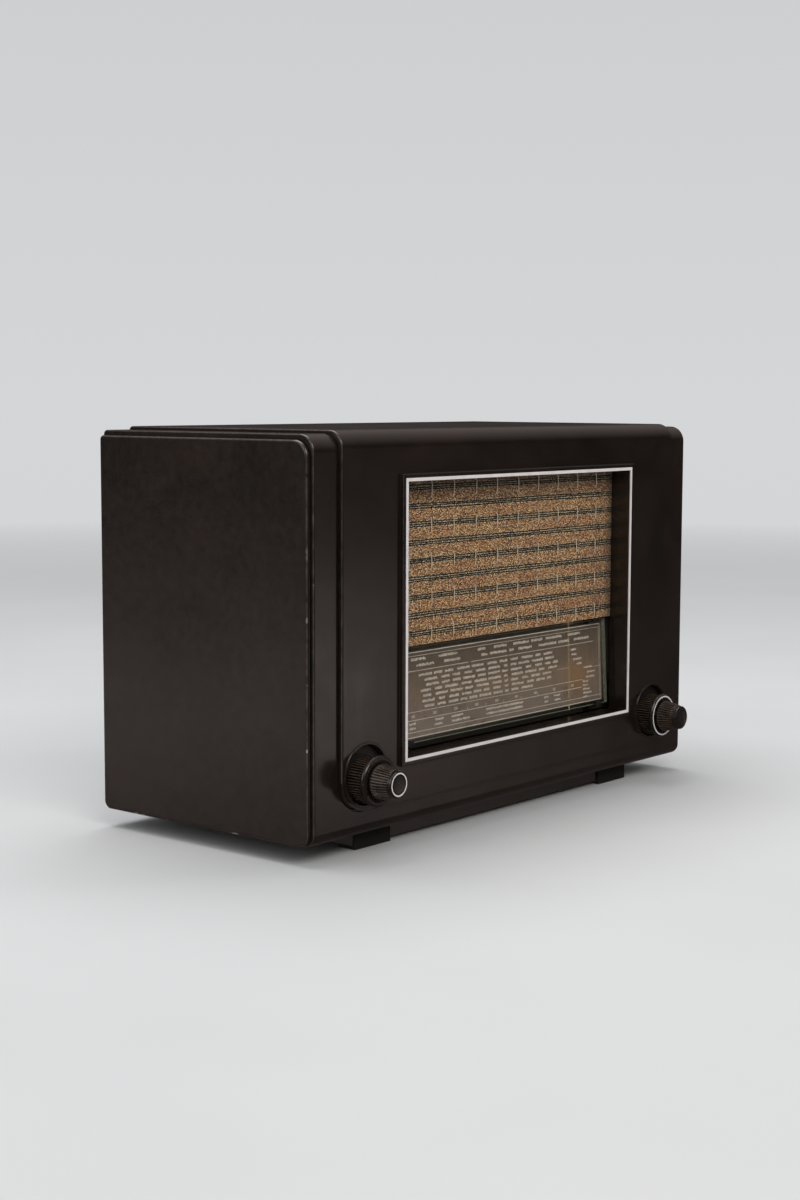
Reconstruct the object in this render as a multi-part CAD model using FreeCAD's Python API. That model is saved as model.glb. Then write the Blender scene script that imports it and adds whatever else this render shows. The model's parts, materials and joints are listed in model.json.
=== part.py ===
"""Bakelite table radio: every separate piece as its own solid, in millimetres.

Frame: +X to the right seen from the front, +Y to the rear, +Z up.
Origin: centre of the overall footprint, on the table plane.
Lengths called "set back" are measured rearwards from the front plane of the end cheeks.
"""
import FreeCAD, Part
import math
import os

Vec = FreeCAD.Vector
AXIS_X = Vec(1, 0, 0)
AXIS_Y = Vec(0, 1, 0)
AXIS_Z = Vec(0, 0, 1)

# ---- overall cabinet ----
CAB_WIDTH = 440.0
CAB_DEPTH = 191.3
KNOB_REACH = 33.2
FRONT = (KNOB_REACH - CAB_DEPTH) / 2.0
REAR = FRONT + CAB_DEPTH
FLOOR = 13.0
CHEEK_HEIGHT = 257.4
CHEEK_HALF = CAB_WIDTH / 2.0
CHEEK_RIM = 2.8
GROOVE_WIDE = 0.9
GROOVE_DEEP = 1.2
BAND_HALF = CHEEK_HALF - CHEEK_RIM - GROOVE_WIDE
BAND_PROUD = 2.2
BAND_RISE = 3.5
PANEL_HALF = 193.0
PANEL_PROUD = 5.2
PANEL_RISE = 5.8
PANEL_CORNER = 23.5
ROLL_TOP = 11.5
ROLL_FOOT = 8.0
REAR_ROUND = 3.0
REAR_FOOT = 5.5
EDGE_SOFT = 1.2
RIM_SOFT = 1.8
WALL_BACK = 1.5
CAVITY_ROUND = 6.0
CAVITY_HALF = 214.5
CAVITY_LOW = FLOOR + 4.0
CAVITY_TOP = FLOOR + 253.0
COVER_OUT = REAR - 2.5
COVER_IN = COVER_OUT - 3.0

# ---- plinth and feet ----
SKIRT_HALF = 161.0
SKIRT_BACK = 14.0
SKIRT_LOW = 2.4
SKIRT_WALL = 5.0
FOOT_WIDE = 37.0
FOOT_DEEP = 15.0
FOOT_BACK = 12.0
FOOT_X = SKIRT_HALF - FOOT_WIDE / 2.0
BASE_OPEN_HALF = 141.0
BASE_OPEN_BACK = 38.0
BASE_PLATE_HALF = 154.0
BASE_PLATE_BACK = 33.0
BASE_PLATE_THICK = 2.0
BASE_SCREW_X = 148.0
BASE_SCREW_BACK = 42.0

# ---- knob positions ----
KNOB_X = 169.5
KNOB_Z = FLOOR + 38.2
DISH_Z = FLOOR + 41.0
DISH_R = 20.0
DISH_RIM_R = 21.4
DISH_FLOOR = -1.7
DISH_RIM_PROUD = 0.8

# ---- window ----
TRIM_HALF = 133.5
TRIM_LOW = FLOOR + 44.3
TRIM_TOP = FLOOR + 231.4
TRIM_WIDE = 2.2
TRIM_FACE = -8.3
TRIM_SEAT = -7.5
TRIM_SOFT = 0.4
COLLAR_WIDE = 2.7
COLLAR_FACE = -8.1
COLLAR_SOFT = 0.8
OPEN_HALF = TRIM_HALF - TRIM_WIDE
OPEN_LOW = TRIM_LOW + TRIM_WIDE
OPEN_TOP = TRIM_TOP - TRIM_WIDE
LIP_WIDE = 5.3
LIP_BACK = 8.5

# ---- baffle board, cloth, loudspeaker ----
CLOTH_THICK = 0.6
BOARD_THICK = 6.0
BOARD_HALF = 148.0
CLOTH_HALF = 139.0
BOARD_LOW = FLOOR + 117.5
BOARD_TOP = FLOOR + 249.0
BOARD_BACK = LIP_BACK + CLOTH_THICK + BOARD_THICK
BOARD_BOSS_X = 144.0
BOARD_BOSS_Z = (FLOOR + 128.0, FLOOR + 243.0)
SPK_Z = FLOOR + 187.0
SPK_HOLE = (66.0, 40.0)
SPK_FLANGE = (76.0, 50.0)
SPK_BOLT = (62.0, 36.5)
SPK_DEPTH = 34.0
CONE_TRAVEL = 1.5

# ---- dial ----
GLASS_HALF = 125.0
GLASS_LOW = FLOOR + 52.0
GLASS_TALL = 64.0
GLASS_THICK = 3.0
GLASS_BACK = 6.0
GLASS_LEAN = math.radians(3.0)
CLIP_X = 112.0
CLIP_WIDE = 7.0
CLIP_GRIP = 1.6
PAD_THICK = 0.6
CLIP_SHEET = 0.6
PLATE_BACK = 18.0
PLATE_THICK = 1.0
PLATE_LEFT = -160.0
PLATE_RIGHT = 182.0
PLATE_LOW = FLOOR + 45.0
PLATE_TOP = FLOOR + 118.0
TAB_TOP = FLOOR + 137.0
TAB_LEFT = -110.0
TAB_RIGHT = 105.0
POINTER_X = 86.0
POINTER_LOW = FLOOR + 49.5
POINTER_LOW_BACK = 13.8
POINTER_TOP_BACK = 15.4
POINTER_THICK = 0.6
CARRIAGE_LOW = FLOOR + 114.0
CARRIAGE_TOP = FLOOR + 131.0
LAMP_X = 146.0

# ---- cord drive ----
CORD_R = 0.35
CORD_BEND_R = 0.37
RUN_BACK = 23.5
DRUM_X = 100.0
DRUM_Z = FLOOR + 103.0
DRUM_CORD_R = 60.0
DRUM_BACK = 28.0
PULLEY_CORD_R = 6.0
SPINDLE_CORD_R = 4.0
RUN_Z = FLOOR + 129.0
LEFT_PULLEY_X = -118.0
RIGHT_PULLEY_X = KNOB_X + SPINDLE_CORD_R - PULLEY_CORD_R
LOW_PULLEY_Z = FLOOR + 53.0

# ---- shafts and knobs ----
SHAFT_R = 3.0
SHAFT_TIP = -29.0
TUBE_BORE = 3.1
TUBE_R = 4.0
TUBE_TIP = -15.2
BUSH_BORE = 4.05
FLANGE_R = 16.8
FLANGE_FACE = -17.2
FLANGE_HEEL = -13.8
SKIRT_FRONT_R = 15.0
SKIRT_REAR_R = 15.8
SKIRT_END = -2.4
SKIRT_RIB = 0.8
SKIRT_RIBS = 52
NOSE_R = 8.9
NOSE_HEEL = -29.6
GRIP_FRONT_R = 9.6
GRIP_REAR_R = 11.8
GRIP_END = -17.7
GRIP_RIB = 0.7
GRIP_RIBS = 36
RING_DEEP = 0.3
FLANGE_RING = (15.4, 14.2)
NOSE_RING = (7.8, 6.8)

# ---- chassis ----
CH_HALF = 188.0
CH_FRONT = 33.0
CH_REAR = 180.0
CH_LOW = FLOOR + 10.2
CH_TOP = FLOOR + 62.2
SHEET = 1.2
CH_BOLT_X = 170.0
CH_BOLT_BACK = (52.0, 160.0)

# ---- tuning condenser, beside the drum ----
GANG_X0 = DRUM_X - 28.0
GANG_X1 = DRUM_X + 28.0
GANG_Y0 = 40.0
GANG_Y1 = 104.0
GANG_LOW = FLOOR + 68.0
VANE_PITCH = 3.0
VANE_THICK = 0.5
VANE_STARTS = (46.0, 76.0)
VANES = 7

# ---- X and set-back of what stands on the chassis ----
VALVE_SPOTS = ((48.0, 70.0), (-22.0, 62.0), (-94.0, 62.0), (-104.0, 122.0), (62.0, 146.0))
IF_SPOTS = ((14.0, 64.0), (-58.0, 64.0))
CAN_SPOT = (12.0, 132.0)
OUT_SPOT = (-48.0, 130.0)
MAINS_SPOT = (134.0, 146.0)
VALVE_SOCKET_R = 10.5
TALL_VALVES = (3, 4)
# half width, half depth, height and limb width of each core
MAINS_CORE = (36.0, 17.0, 58.0, 11.0)
OUT_CORE = (22.0, 10.0, 36.0, 7.0)

# ---- rear sockets ----
AERIAL_X = (-138.0, -118.0)
SOCKET_Z = FLOOR + 37.0


def at(set_back):
    """Y position of a distance set back from the front plane of the cheeks."""
    return FRONT + set_back


def box(x0, x1, y0, y1, z0, z1):
    return Part.makeBox(x1 - x0, y1 - y0, z1 - z0, Vec(x0, y0, z0))


def rod_y(x, z, y0, y1, r):
    return Part.makeCylinder(r, y1 - y0, Vec(x, y0, z), AXIS_Y)


def rod_z(x, y, z0, z1, r):
    return Part.makeCylinder(r, z1 - z0, Vec(x, y, z0), AXIS_Z)


def rod_x(y, z, x0, x1, r):
    return Part.makeCylinder(r, x1 - x0, Vec(x0, y, z), AXIS_X)


def tube_y(x, z, y0, y1, r, bore):
    return rod_y(x, z, y0, y1, r).cut(rod_y(x, z, y0 - 1.0, y1 + 1.0, bore))


def cone_y(x, z, y0, y1, r0, r1):
    return Part.makeCone(r0, r1, y1 - y0, Vec(x, y0, z), AXIS_Y)


def fuse(shapes):
    whole = shapes[0]
    if len(shapes) > 1:
        whole = whole.multiFuse(shapes[1:])
    return whole.removeSplitter()


def prism_x(yz, x0, x1):
    """Extrude a closed Y, Z outline from x0 to x1."""
    pts = [Vec(x0, y, z) for y, z in yz]
    face = Part.Face(Part.makePolygon(pts + [pts[0]]))
    return face.extrude(Vec(x1 - x0, 0, 0))


def prism_y(xz, y0, y1):
    """Extrude a closed X, Z outline from y0 to y1."""
    pts = [Vec(x, y0, z) for x, z in xz]
    face = Part.Face(Part.makePolygon(pts + [pts[0]]))
    return face.extrude(Vec(0, y1 - y0, 0))


def hex_y(x, z, y0, y1, across, bore):
    corner = across / 2.0 / math.cos(math.pi / 6.0)
    pts = []
    for k in range(6):
        a = k * math.pi / 3.0
        pts.append((x + corner * math.cos(a), z + corner * math.sin(a)))
    return prism_y(pts, y0, y1).cut(rod_y(x, z, y0 - 1.0, y1 + 1.0, bore))


def soften(shape, radius, wanted):
    """Round the edges that the wanted test picks out."""
    picked = [e for e in shape.Edges if wanted(e)]
    return shape.makeFillet(radius, picked)


def runs_along_x(edge, y, z):
    """True for a straight edge that runs along X at this Y and Z."""
    ends = [v.Point for v in edge.Vertexes]
    if len(ends) != 2:
        return False
    near = all(abs(p.y - y) < 0.01 and abs(p.z - z) < 0.01 for p in ends)
    return near and abs(ends[0].x - ends[1].x) > 0.1


def lies_on_x(edge, x):
    return all(abs(v.Point.x - x) < 0.01 for v in edge.Vertexes)


def slab(x0, x1, proud, rise, top_round, foot_round):
    """A slice of the cabinet: a rounded side profile carried from x0 to x1."""
    y0 = FRONT - proud
    z1 = FLOOR + CHEEK_HEIGHT + rise
    body = box(x0, x1, y0, REAR, FLOOR, z1)
    body = soften(body, top_round, lambda e: runs_along_x(e, y0, z1))
    body = soften(body, foot_round, lambda e: runs_along_x(e, y0, FLOOR))
    body = soften(body, REAR_ROUND, lambda e: runs_along_x(e, REAR, z1))
    return soften(body, REAR_FOOT, lambda e: runs_along_x(e, REAR, FLOOR))


def cheek_rim(side):
    """The outermost rim of one end, with a rounded outer edge."""
    x_out = side * CHEEK_HALF
    x_in = side * (CHEEK_HALF - CHEEK_RIM)
    rim = slab(min(x_out, x_in), max(x_out, x_in), 0.0, 0.0, ROLL_TOP, ROLL_FOOT)
    return soften(rim, RIM_SOFT, lambda e: lies_on_x(e, x_out))


def panel_outline():
    """Front outline of the raised panel: square at the top, round lower corners."""
    low = DISH_Z - PANEL_CORNER
    high = FLOOR + CHEEK_HEIGHT + 30.0
    plate = box(-PANEL_HALF, PANEL_HALF, FRONT - 40.0, REAR, low, high)
    corners = [-PANEL_HALF, PANEL_HALF]

    def is_low_corner(edge):
        ends = [v.Point for v in edge.Vertexes]
        level = all(abs(p.z - low) < 0.01 for p in ends)
        return level and any(lies_on_x(edge, x) for x in corners)

    return soften(plate, PANEL_CORNER, is_low_corner)


def panel_groove():
    """Narrow groove that runs round the cabinet beside the raised panel."""
    cutter = None
    for side in (-1.0, 1.0):
        a = side * PANEL_HALF
        b = side * (PANEL_HALF + GROOVE_WIDE)
        ring = slab(min(a, b), max(a, b), BAND_PROUD + 5.0, BAND_RISE + 5.0, 3.0, 3.0)
        core = slab(min(a, b) - 1.0, max(a, b) + 1.0, BAND_PROUD - GROOVE_DEEP,
                    BAND_RISE - GROOVE_DEEP, ROLL_TOP, ROLL_FOOT)
        keep = box(min(a, b) - 1.0, max(a, b) + 1.0, FRONT - 20.0, REAR + 1.0,
                   DISH_Z, FLOOR + CHEEK_HEIGHT + 40.0)
        ring = ring.cut(core).common(keep)
        arc = tube_y(side * KNOB_X, DISH_Z, at(-20.0), at(GROOVE_DEEP - BAND_PROUD),
                     PANEL_CORNER + GROOVE_WIDE, PANEL_CORNER)
        x0 = side * KNOB_X
        x1 = side * (KNOB_X + 40.0)
        quarter = box(min(x0, x1), max(x0, x1), at(-30.0), at(5.0), DISH_Z - 40.0, DISH_Z)
        piece = ring.fuse(arc.common(quarter))
        cutter = piece if cutter is None else cutter.fuse(piece)
    return cutter


def outer_body():
    core = slab(-CHEEK_HALF + 1.0, CHEEK_HALF - 1.0, -GROOVE_DEEP, -GROOVE_DEEP,
                ROLL_TOP, ROLL_FOOT)
    band = slab(-BAND_HALF, BAND_HALF, BAND_PROUD, BAND_RISE, ROLL_TOP, ROLL_FOOT)
    for x in (-BAND_HALF, BAND_HALF):
        band = soften(band, EDGE_SOFT, lambda e, x=x: lies_on_x(e, x))
    band = band.cut(panel_groove())
    panel = slab(-PANEL_HALF, PANEL_HALF, PANEL_PROUD, PANEL_RISE, ROLL_TOP, ROLL_FOOT)
    for x in (-PANEL_HALF, PANEL_HALF):
        panel = soften(panel, EDGE_SOFT, lambda e, x=x: lies_on_x(e, x))
    panel = panel.common(panel_outline())
    return fuse([core, cheek_rim(-1.0), cheek_rim(1.0), band, panel])


def window_box(grow, y0, y1):
    """Box round the window, larger than the trim by grow on every side."""
    return box(-TRIM_HALF - grow, TRIM_HALF + grow, y0, y1, TRIM_LOW - grow, TRIM_TOP + grow)


def cover_screw_spots():
    spots = []
    for x in (-206.0, 206.0):
        for z in (FLOOR + 12.0, FLOOR + 245.0):
            spots.append((x, z))
    spots.append((0.0, FLOOR + 245.0))
    return spots


def skirt():
    """Low plinth wall under the cabinet, open in the middle."""
    block = box(-SKIRT_HALF, SKIRT_HALF, at(SKIRT_BACK), REAR - SKIRT_BACK, SKIRT_LOW, FLOOR)
    inner = SKIRT_BACK + SKIRT_WALL
    half = SKIRT_HALF - SKIRT_WALL
    return block.cut(box(-half, half, at(inner), REAR - inner, 0.0, FLOOR + 1.0))


def cabinet_shell():
    body = outer_body()
    collar = window_box(COLLAR_WIDE, at(COLLAR_FACE), at(0.0))
    collar = soften(collar, COLLAR_SOFT, lambda e: abs(e.BoundBox.YMin - at(COLLAR_FACE)) < 0.01
                    and e.BoundBox.YLength < 0.01)
    body = body.fuse(collar)
    cavity = box(-CAVITY_HALF, CAVITY_HALF, at(WALL_BACK), REAR + 5.0, CAVITY_LOW, CAVITY_TOP)
    cavity = soften(cavity, CAVITY_ROUND, lambda e: runs_along_x(e, at(WALL_BACK), CAVITY_TOP)
                    or runs_along_x(e, at(WALL_BACK), CAVITY_LOW))
    body = body.cut(cavity)
    adds = [box(-OPEN_HALF - LIP_WIDE, OPEN_HALF + LIP_WIDE, at(0.0), at(LIP_BACK),
                OPEN_LOW - LIP_WIDE, OPEN_TOP + LIP_WIDE)]
    for x in (-BOARD_BOSS_X, BOARD_BOSS_X):
        for z in BOARD_BOSS_Z:
            adds.append(rod_y(x, z, at(WALL_BACK - 1.0), at(LIP_BACK + CLOTH_THICK), 4.0))
    for x, z in cover_screw_spots():
        adds.append(rod_y(x, z, COVER_IN - 22.0, COVER_IN, 5.0))
        ledge = (z + 14.0) if z > 100.0 else (z - 10.0)
        adds.append(box(x - 3.0, x + 3.0, COVER_IN - 22.0, COVER_IN, min(z, ledge), max(z, ledge)))
    for x in (-CH_BOLT_X, CH_BOLT_X):
        for back in CH_BOLT_BACK:
            adds.append(rod_z(x, at(back), FLOOR + 2.0, CH_LOW - SHEET, 7.0))
    adds.append(skirt())
    for side in (-1.0, 1.0):
        adds.append(tube_y(side * KNOB_X, DISH_Z, at(-PANEL_PROUD - DISH_RIM_PROUD), at(0.0),
                           DISH_RIM_R, DISH_R))
    body = body.multiFuse(adds)
    cuts = [box(-OPEN_HALF, OPEN_HALF, at(-20.0), at(20.0), OPEN_LOW, OPEN_TOP),
            window_box(0.0, at(-20.0), at(TRIM_SEAT)),
            box(-BASE_OPEN_HALF, BASE_OPEN_HALF, at(BASE_OPEN_BACK), REAR - BASE_OPEN_BACK,
                0.0, CAVITY_LOW + 1.0)]
    for side in (-1.0, 1.0):
        cuts.append(cone_y(side * KNOB_X, DISH_Z, at(-PANEL_PROUD - DISH_RIM_PROUD - 0.01),
                           at(DISH_FLOOR), DISH_R, DISH_R - 1.0))
        cuts.append(rod_y(side * KNOB_X, KNOB_Z, at(-20.0), at(10.0), 5.0))
    for x in (-BOARD_BOSS_X, BOARD_BOSS_X):
        for z in BOARD_BOSS_Z:
            cuts.append(rod_y(x, z, at(2.0), at(LIP_BACK + CLOTH_THICK + 1.0), 1.5))
    for x, z in cover_screw_spots():
        cuts.append(rod_y(x, z, REAR - 18.0, REAR, 1.5))
    for x in (-CH_BOLT_X, CH_BOLT_X):
        for back in CH_BOLT_BACK:
            cuts.append(rod_z(x, at(back), FLOOR - 1.0, CH_LOW + 1.0, 2.1))
    for x, y in bottom_screw_spots():
        cuts.append(rod_z(x, y, FLOOR - 1.0, CAVITY_LOW - 1.0, 1.4))
    for cutter in cuts:
        body = body.cut(cutter)
    return body.removeSplitter()


def window_trim():
    ring = window_box(0.0, at(TRIM_FACE), at(TRIM_SEAT))
    ring = soften(ring, TRIM_SOFT, lambda e: abs(e.BoundBox.YMin - at(TRIM_FACE)) < 0.01
                  and e.BoundBox.YLength < 0.01)
    return ring.cut(box(-OPEN_HALF, OPEN_HALF, at(-20.0), at(0.0), OPEN_LOW, OPEN_TOP))


def foot(side, front):
    x = side * FOOT_X
    if front:
        y0 = at(FOOT_BACK)
        y1 = at(FOOT_BACK + FOOT_DEEP)
    else:
        y0 = REAR - FOOT_BACK - FOOT_DEEP
        y1 = REAR - FOOT_BACK
    block = box(x - FOOT_WIDE / 2.0, x + FOOT_WIDE / 2.0, y0, y1, 0.0, FLOOR)
    block = block.cut(skirt())
    return soften(block, 1.5, lambda e: e.BoundBox.ZLength > 4.0 and e.BoundBox.XLength < 0.01
                  and e.BoundBox.YLength < 0.01 and e.BoundBox.ZMin < 0.1)


def feet():
    return Part.makeCompound([foot(s, f) for s in (-1.0, 1.0) for f in (True, False)])


# ---- covers ----
def bottom_screw_spots():
    return [(x, y) for x in (-BASE_SCREW_X, BASE_SCREW_X)
            for y in (at(BASE_SCREW_BACK), REAR - BASE_SCREW_BACK)]


def bottom_cover():
    plate = box(-BASE_PLATE_HALF, BASE_PLATE_HALF, at(BASE_PLATE_BACK), REAR - BASE_PLATE_BACK,
                FLOOR - BASE_PLATE_THICK, FLOOR)
    for row in range(3):
        for col in range(9):
            x = -104.0 + 26.0 * col
            y = at(70.0 + 25.0 * row)
            plate = plate.cut(rod_z(x, y, 0.0, FLOOR + 1.0, 4.0))
    for x, y in bottom_screw_spots():
        plate = plate.cut(rod_z(x, y, 0.0, FLOOR + 1.0, 1.6))
    return plate


def pan_screw(x, y, z_seat, shank, length):
    """Domed screw whose head sits under z_seat with its shank pointing up."""
    head = rod_z(x, y, z_seat - 1.8, z_seat, 3.2)
    head = soften(head, 0.8, lambda e: abs(e.BoundBox.ZMax - (z_seat - 1.8)) < 0.01)
    slot = box(x - 4.0, x + 4.0, y - 0.4, y + 0.4, z_seat - 2.0, z_seat - 1.1)
    return head.fuse(rod_z(x, y, z_seat, z_seat + length, shank)).cut(slot)


def rear_cover():
    y0 = COVER_IN
    y1 = COVER_OUT
    plate = box(-CAVITY_HALF + 0.5, CAVITY_HALF - 0.5, y0, y1, CAVITY_LOW + 0.5, CAVITY_TOP - 0.5)
    cuts = []
    for group in (-1.0, 1.0):
        for row in range(3):
            for col in range(9):
                x = group * (50.0 + 16.0 * col)
                z = FLOOR + 122.0 + 40.0 * row
                cuts.append(box(x - 2.0, x + 2.0, y0 - 1.0, y1 + 1.0, z - 14.0, z + 14.0))
    for col in range(15):
        x = -105.0 + 15.0 * col
        cuts.append(rod_y(x, FLOOR + 84.0, y0 - 1.0, y1 + 1.0, 3.5))
    cuts.append(box(-156.0, -100.0, y0 - 1.0, y1 + 1.0, FLOOR + 26.0, FLOOR + 48.0))
    cuts.append(box(108.0, 148.0, y0 - 1.0, y1 + 1.0, FLOOR + 24.0, FLOOR + 50.0))
    for x, z in cover_screw_spots():
        cuts.append(rod_y(x, z, y0 - 1.0, y1 + 1.0, 1.6))
    return plate.cut(Part.makeCompound(cuts))


def slotted_screw(x, z, y_seat, shank, length):
    """Slotted screw driven forwards: head behind y_seat, shank in front of it."""
    head = rod_y(x, z, y_seat, y_seat + 2.0, 3.4)
    head = soften(head, 0.9, lambda e: abs(e.BoundBox.YMin - (y_seat + 2.0)) < 0.01)
    slot = box(x - 4.0, x + 4.0, y_seat + 1.1, y_seat + 3.0, z - 0.4, z + 0.4)
    return head.cut(slot).fuse(rod_y(x, z, y_seat - length, y_seat, shank))


def cover_screws():
    rear = [slotted_screw(x, z, COVER_OUT, 1.5, 15.0) for x, z in cover_screw_spots()]
    under = [pan_screw(x, y, FLOOR - BASE_PLATE_THICK, 1.4, 4.9) for x, y in bottom_screw_spots()]
    return Part.makeCompound(rear + under)


# ---- baffle, cloth and loudspeaker ----
def ellipse_wire(y, a, b):
    if a == b:
        return Part.Wire([Part.makeCircle(a, Vec(0, y, SPK_Z), Vec(0, -1, 0))])
    centre = Vec(0, y, SPK_Z)
    curve = Part.Ellipse(Vec(a, y, SPK_Z), Vec(0, y, SPK_Z + b), centre)
    return Part.Wire([curve.toShape()])


def ellipse_plate(y0, y1, a, b):
    return Part.Face(ellipse_wire(y0, a, b)).extrude(Vec(0, y1 - y0, 0))


def ellipse_loft(y0, a0, b0, y1, a1, b1):
    return Part.makeLoft([ellipse_wire(y0, a0, b0), ellipse_wire(y1, a1, b1)], True, True)


def speaker_bolt_spots():
    return [(sx * SPK_BOLT[0], SPK_Z + sz * SPK_BOLT[1]) for sx in (-1.0, 1.0) for sz in (-1.0, 1.0)]


def baffle_board():
    board = box(-BOARD_HALF, BOARD_HALF, at(LIP_BACK + CLOTH_THICK), at(BOARD_BACK), BOARD_LOW, BOARD_TOP)
    board = board.cut(ellipse_plate(at(0.0), at(30.0), *SPK_HOLE))
    for x, z in speaker_bolt_spots():
        board = board.cut(rod_y(x, z, at(0.0), at(30.0), 1.5))
    for x in (-BOARD_BOSS_X, BOARD_BOSS_X):
        for z in BOARD_BOSS_Z:
            board = board.cut(rod_y(x, z, at(0.0), at(30.0), 1.6))
    return board


def speaker_cloth():
    return box(-CLOTH_HALF, CLOTH_HALF, at(LIP_BACK), at(LIP_BACK + CLOTH_THICK), BOARD_LOW, BOARD_TOP)


def board_screws():
    """Screws that hold the board to the cabinet and the loudspeaker to the board."""
    made = []
    for x in (-BOARD_BOSS_X, BOARD_BOSS_X):
        for z in BOARD_BOSS_Z:
            made.append(slotted_screw(x, z, at(BOARD_BACK), 1.5, 11.0))
    for x, z in speaker_bolt_spots():
        made.append(slotted_screw(x, z, at(BOARD_BACK) + 1.2, 1.5, 6.0))
    return Part.makeCompound(made)


def speaker_frame():
    y0 = at(BOARD_BACK)
    y1 = y0 + 1.2
    y2 = y0 + SPK_DEPTH
    flange = ellipse_plate(y0, y1, *SPK_FLANGE)
    wall = ellipse_loft(y1, 69.0, 43.0, y2, 30.0, 30.0)
    frame = flange.fuse(wall).fuse(rod_y(0.0, SPK_Z, y2, y2 + 2.0, 30.0))
    frame = frame.cut(ellipse_plate(y0 - 1.0, y1, *SPK_HOLE))
    frame = frame.cut(ellipse_loft(y1, 67.4, 41.4, y2 - 0.6, 28.4, 28.4))
    frame = frame.cut(rod_y(0.0, SPK_Z, y2 - 2.0, y2 + 5.0, 16.0))
    for sx in (-1.0, 1.0):
        frame = frame.cut(box(min(sx * 28.0, sx * 90.0), max(sx * 28.0, sx * 90.0), y1 + 7.0, y2 - 8.0,
                              SPK_Z - 17.0, SPK_Z + 17.0))
        frame = frame.cut(box(-20.0, 20.0, y1 + 7.0, y2 - 8.0, min(SPK_Z + sx * 22.0, SPK_Z + sx * 60.0),
                              max(SPK_Z + sx * 22.0, SPK_Z + sx * 60.0)))
    for x, z in speaker_bolt_spots():
        frame = frame.cut(rod_y(x, z, y0 - 1.0, y0 + 5.0, 1.6))
    return frame


def speaker_surround():
    y0 = at(BOARD_BACK) + 1.2
    ring = ellipse_plate(y0, y0 + 0.8, 66.4, 40.4)
    return ring.cut(ellipse_plate(y0 - 1.0, y0 + 2.0, 60.0, 34.0))


def speaker_cone():
    y0 = at(BOARD_BACK) + 1.2 + 0.8
    y1 = y0 + 26.0
    rim = ellipse_plate(y0, y0 + 0.6, 62.0, 36.0).cut(ellipse_plate(y0 - 1.0, y0 + 2.0, 58.6, 32.6))
    skin = ellipse_loft(y0 + 0.6, 59.4, 33.4, y1, 13.4, 13.4)
    hollow = ellipse_loft(y0 + 0.6, 58.6, 32.6, y1, 12.6, 12.6)
    former = tube_y(0.0, SPK_Z, y1, y1 + 17.0, 12.8, 12.2)
    cap = rod_y(0.0, SPK_Z, y1 - 0.6, y1, 12.8)
    return skin.cut(hollow).fuse(rim).fuse(former).fuse(cap)


def voice_coil():
    y1 = at(BOARD_BACK) + 2.0 + 26.0
    return tube_y(0.0, SPK_Z, y1 + 9.0, y1 + 16.0, 13.4, 12.8)


def speaker_magnet():
    y0 = at(BOARD_BACK) + SPK_DEPTH + 2.0
    top = tube_y(0.0, SPK_Z, y0, y0 + 4.0, 28.0, 14.0)
    ring = tube_y(0.0, SPK_Z, y0 + 4.0, y0 + 18.0, 26.0, 17.0)
    back = rod_y(0.0, SPK_Z, y0 + 18.0, y0 + 22.0, 28.0)
    pole = rod_y(0.0, SPK_Z, y0 - 1.0, y0 + 18.0, 11.5)
    return fuse([top, ring, back, pole])


# ---- dial glass and plate ----
def leaned(u, v):
    """Y and Z of a point u behind the glass front and v above its lower edge."""
    y = at(GLASS_BACK) + u * math.cos(GLASS_LEAN) + v * math.sin(GLASS_LEAN)
    z = GLASS_LOW + v * math.cos(GLASS_LEAN) - u * math.sin(GLASS_LEAN)
    return (y, z)


def leaned_block(x0, x1, u0, u1, v0, v1):
    return prism_x([leaned(u0, v0), leaned(u1, v0), leaned(u1, v1), leaned(u0, v1)], x0, x1)


def dial_glass():
    return leaned_block(-GLASS_HALF, GLASS_HALF, 0.0, GLASS_THICK, 0.0, GLASS_TALL)


def grip_spans(outside):
    """Spans up the glass that a gripping piece covers at its lower and upper edges."""
    return ((-outside, CLIP_GRIP), (GLASS_TALL - CLIP_GRIP, GLASS_TALL + outside))


def glass_pads():
    made = []
    half = CLIP_WIDE / 2.0
    for x in (-CLIP_X, CLIP_X):
        for v0, v1 in grip_spans(PAD_THICK):
            pad = leaned_block(x - half, x + half, -PAD_THICK, GLASS_THICK + PAD_THICK, v0, v1)
            made.append(pad.cut(dial_glass()))
    return Part.makeCompound(made)


def glass_clips():
    """Bent clips that hold the padded glass in front of the dial plate."""
    made = []
    pads = glass_pads()
    glass = dial_glass()
    half = CLIP_WIDE / 2.0
    wrap = PAD_THICK + CLIP_SHEET
    for x in (-CLIP_X, CLIP_X):
        for low, (v0, v1) in zip((True, False), grip_spans(wrap)):
            clip = leaned_block(x - half, x + half, -wrap, GLASS_THICK + wrap, v0, v1)
            y_arm, z_arm = leaned(GLASS_THICK, v0 if low else v1 - CLIP_SHEET)
            arm = box(x - half, x + half, y_arm, at(PLATE_BACK), z_arm, z_arm + CLIP_SHEET)
            tab = box(x - half, x + half, at(PLATE_BACK) - CLIP_SHEET, at(PLATE_BACK), z_arm - 4.0,
                      z_arm + CLIP_SHEET)
            clip = fuse([clip, arm, tab]).cut(glass).cut(pads)
            made.append(max(clip.Solids, key=lambda s: s.Volume))
    return Part.makeCompound(made)


def pulley_spots():
    return {
        "top_left": (LEFT_PULLEY_X, RUN_Z - PULLEY_CORD_R),
        "low_left": (LEFT_PULLEY_X, LOW_PULLEY_Z),
        "top_right": (RIGHT_PULLEY_X, RUN_Z - PULLEY_CORD_R),
    }


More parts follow.
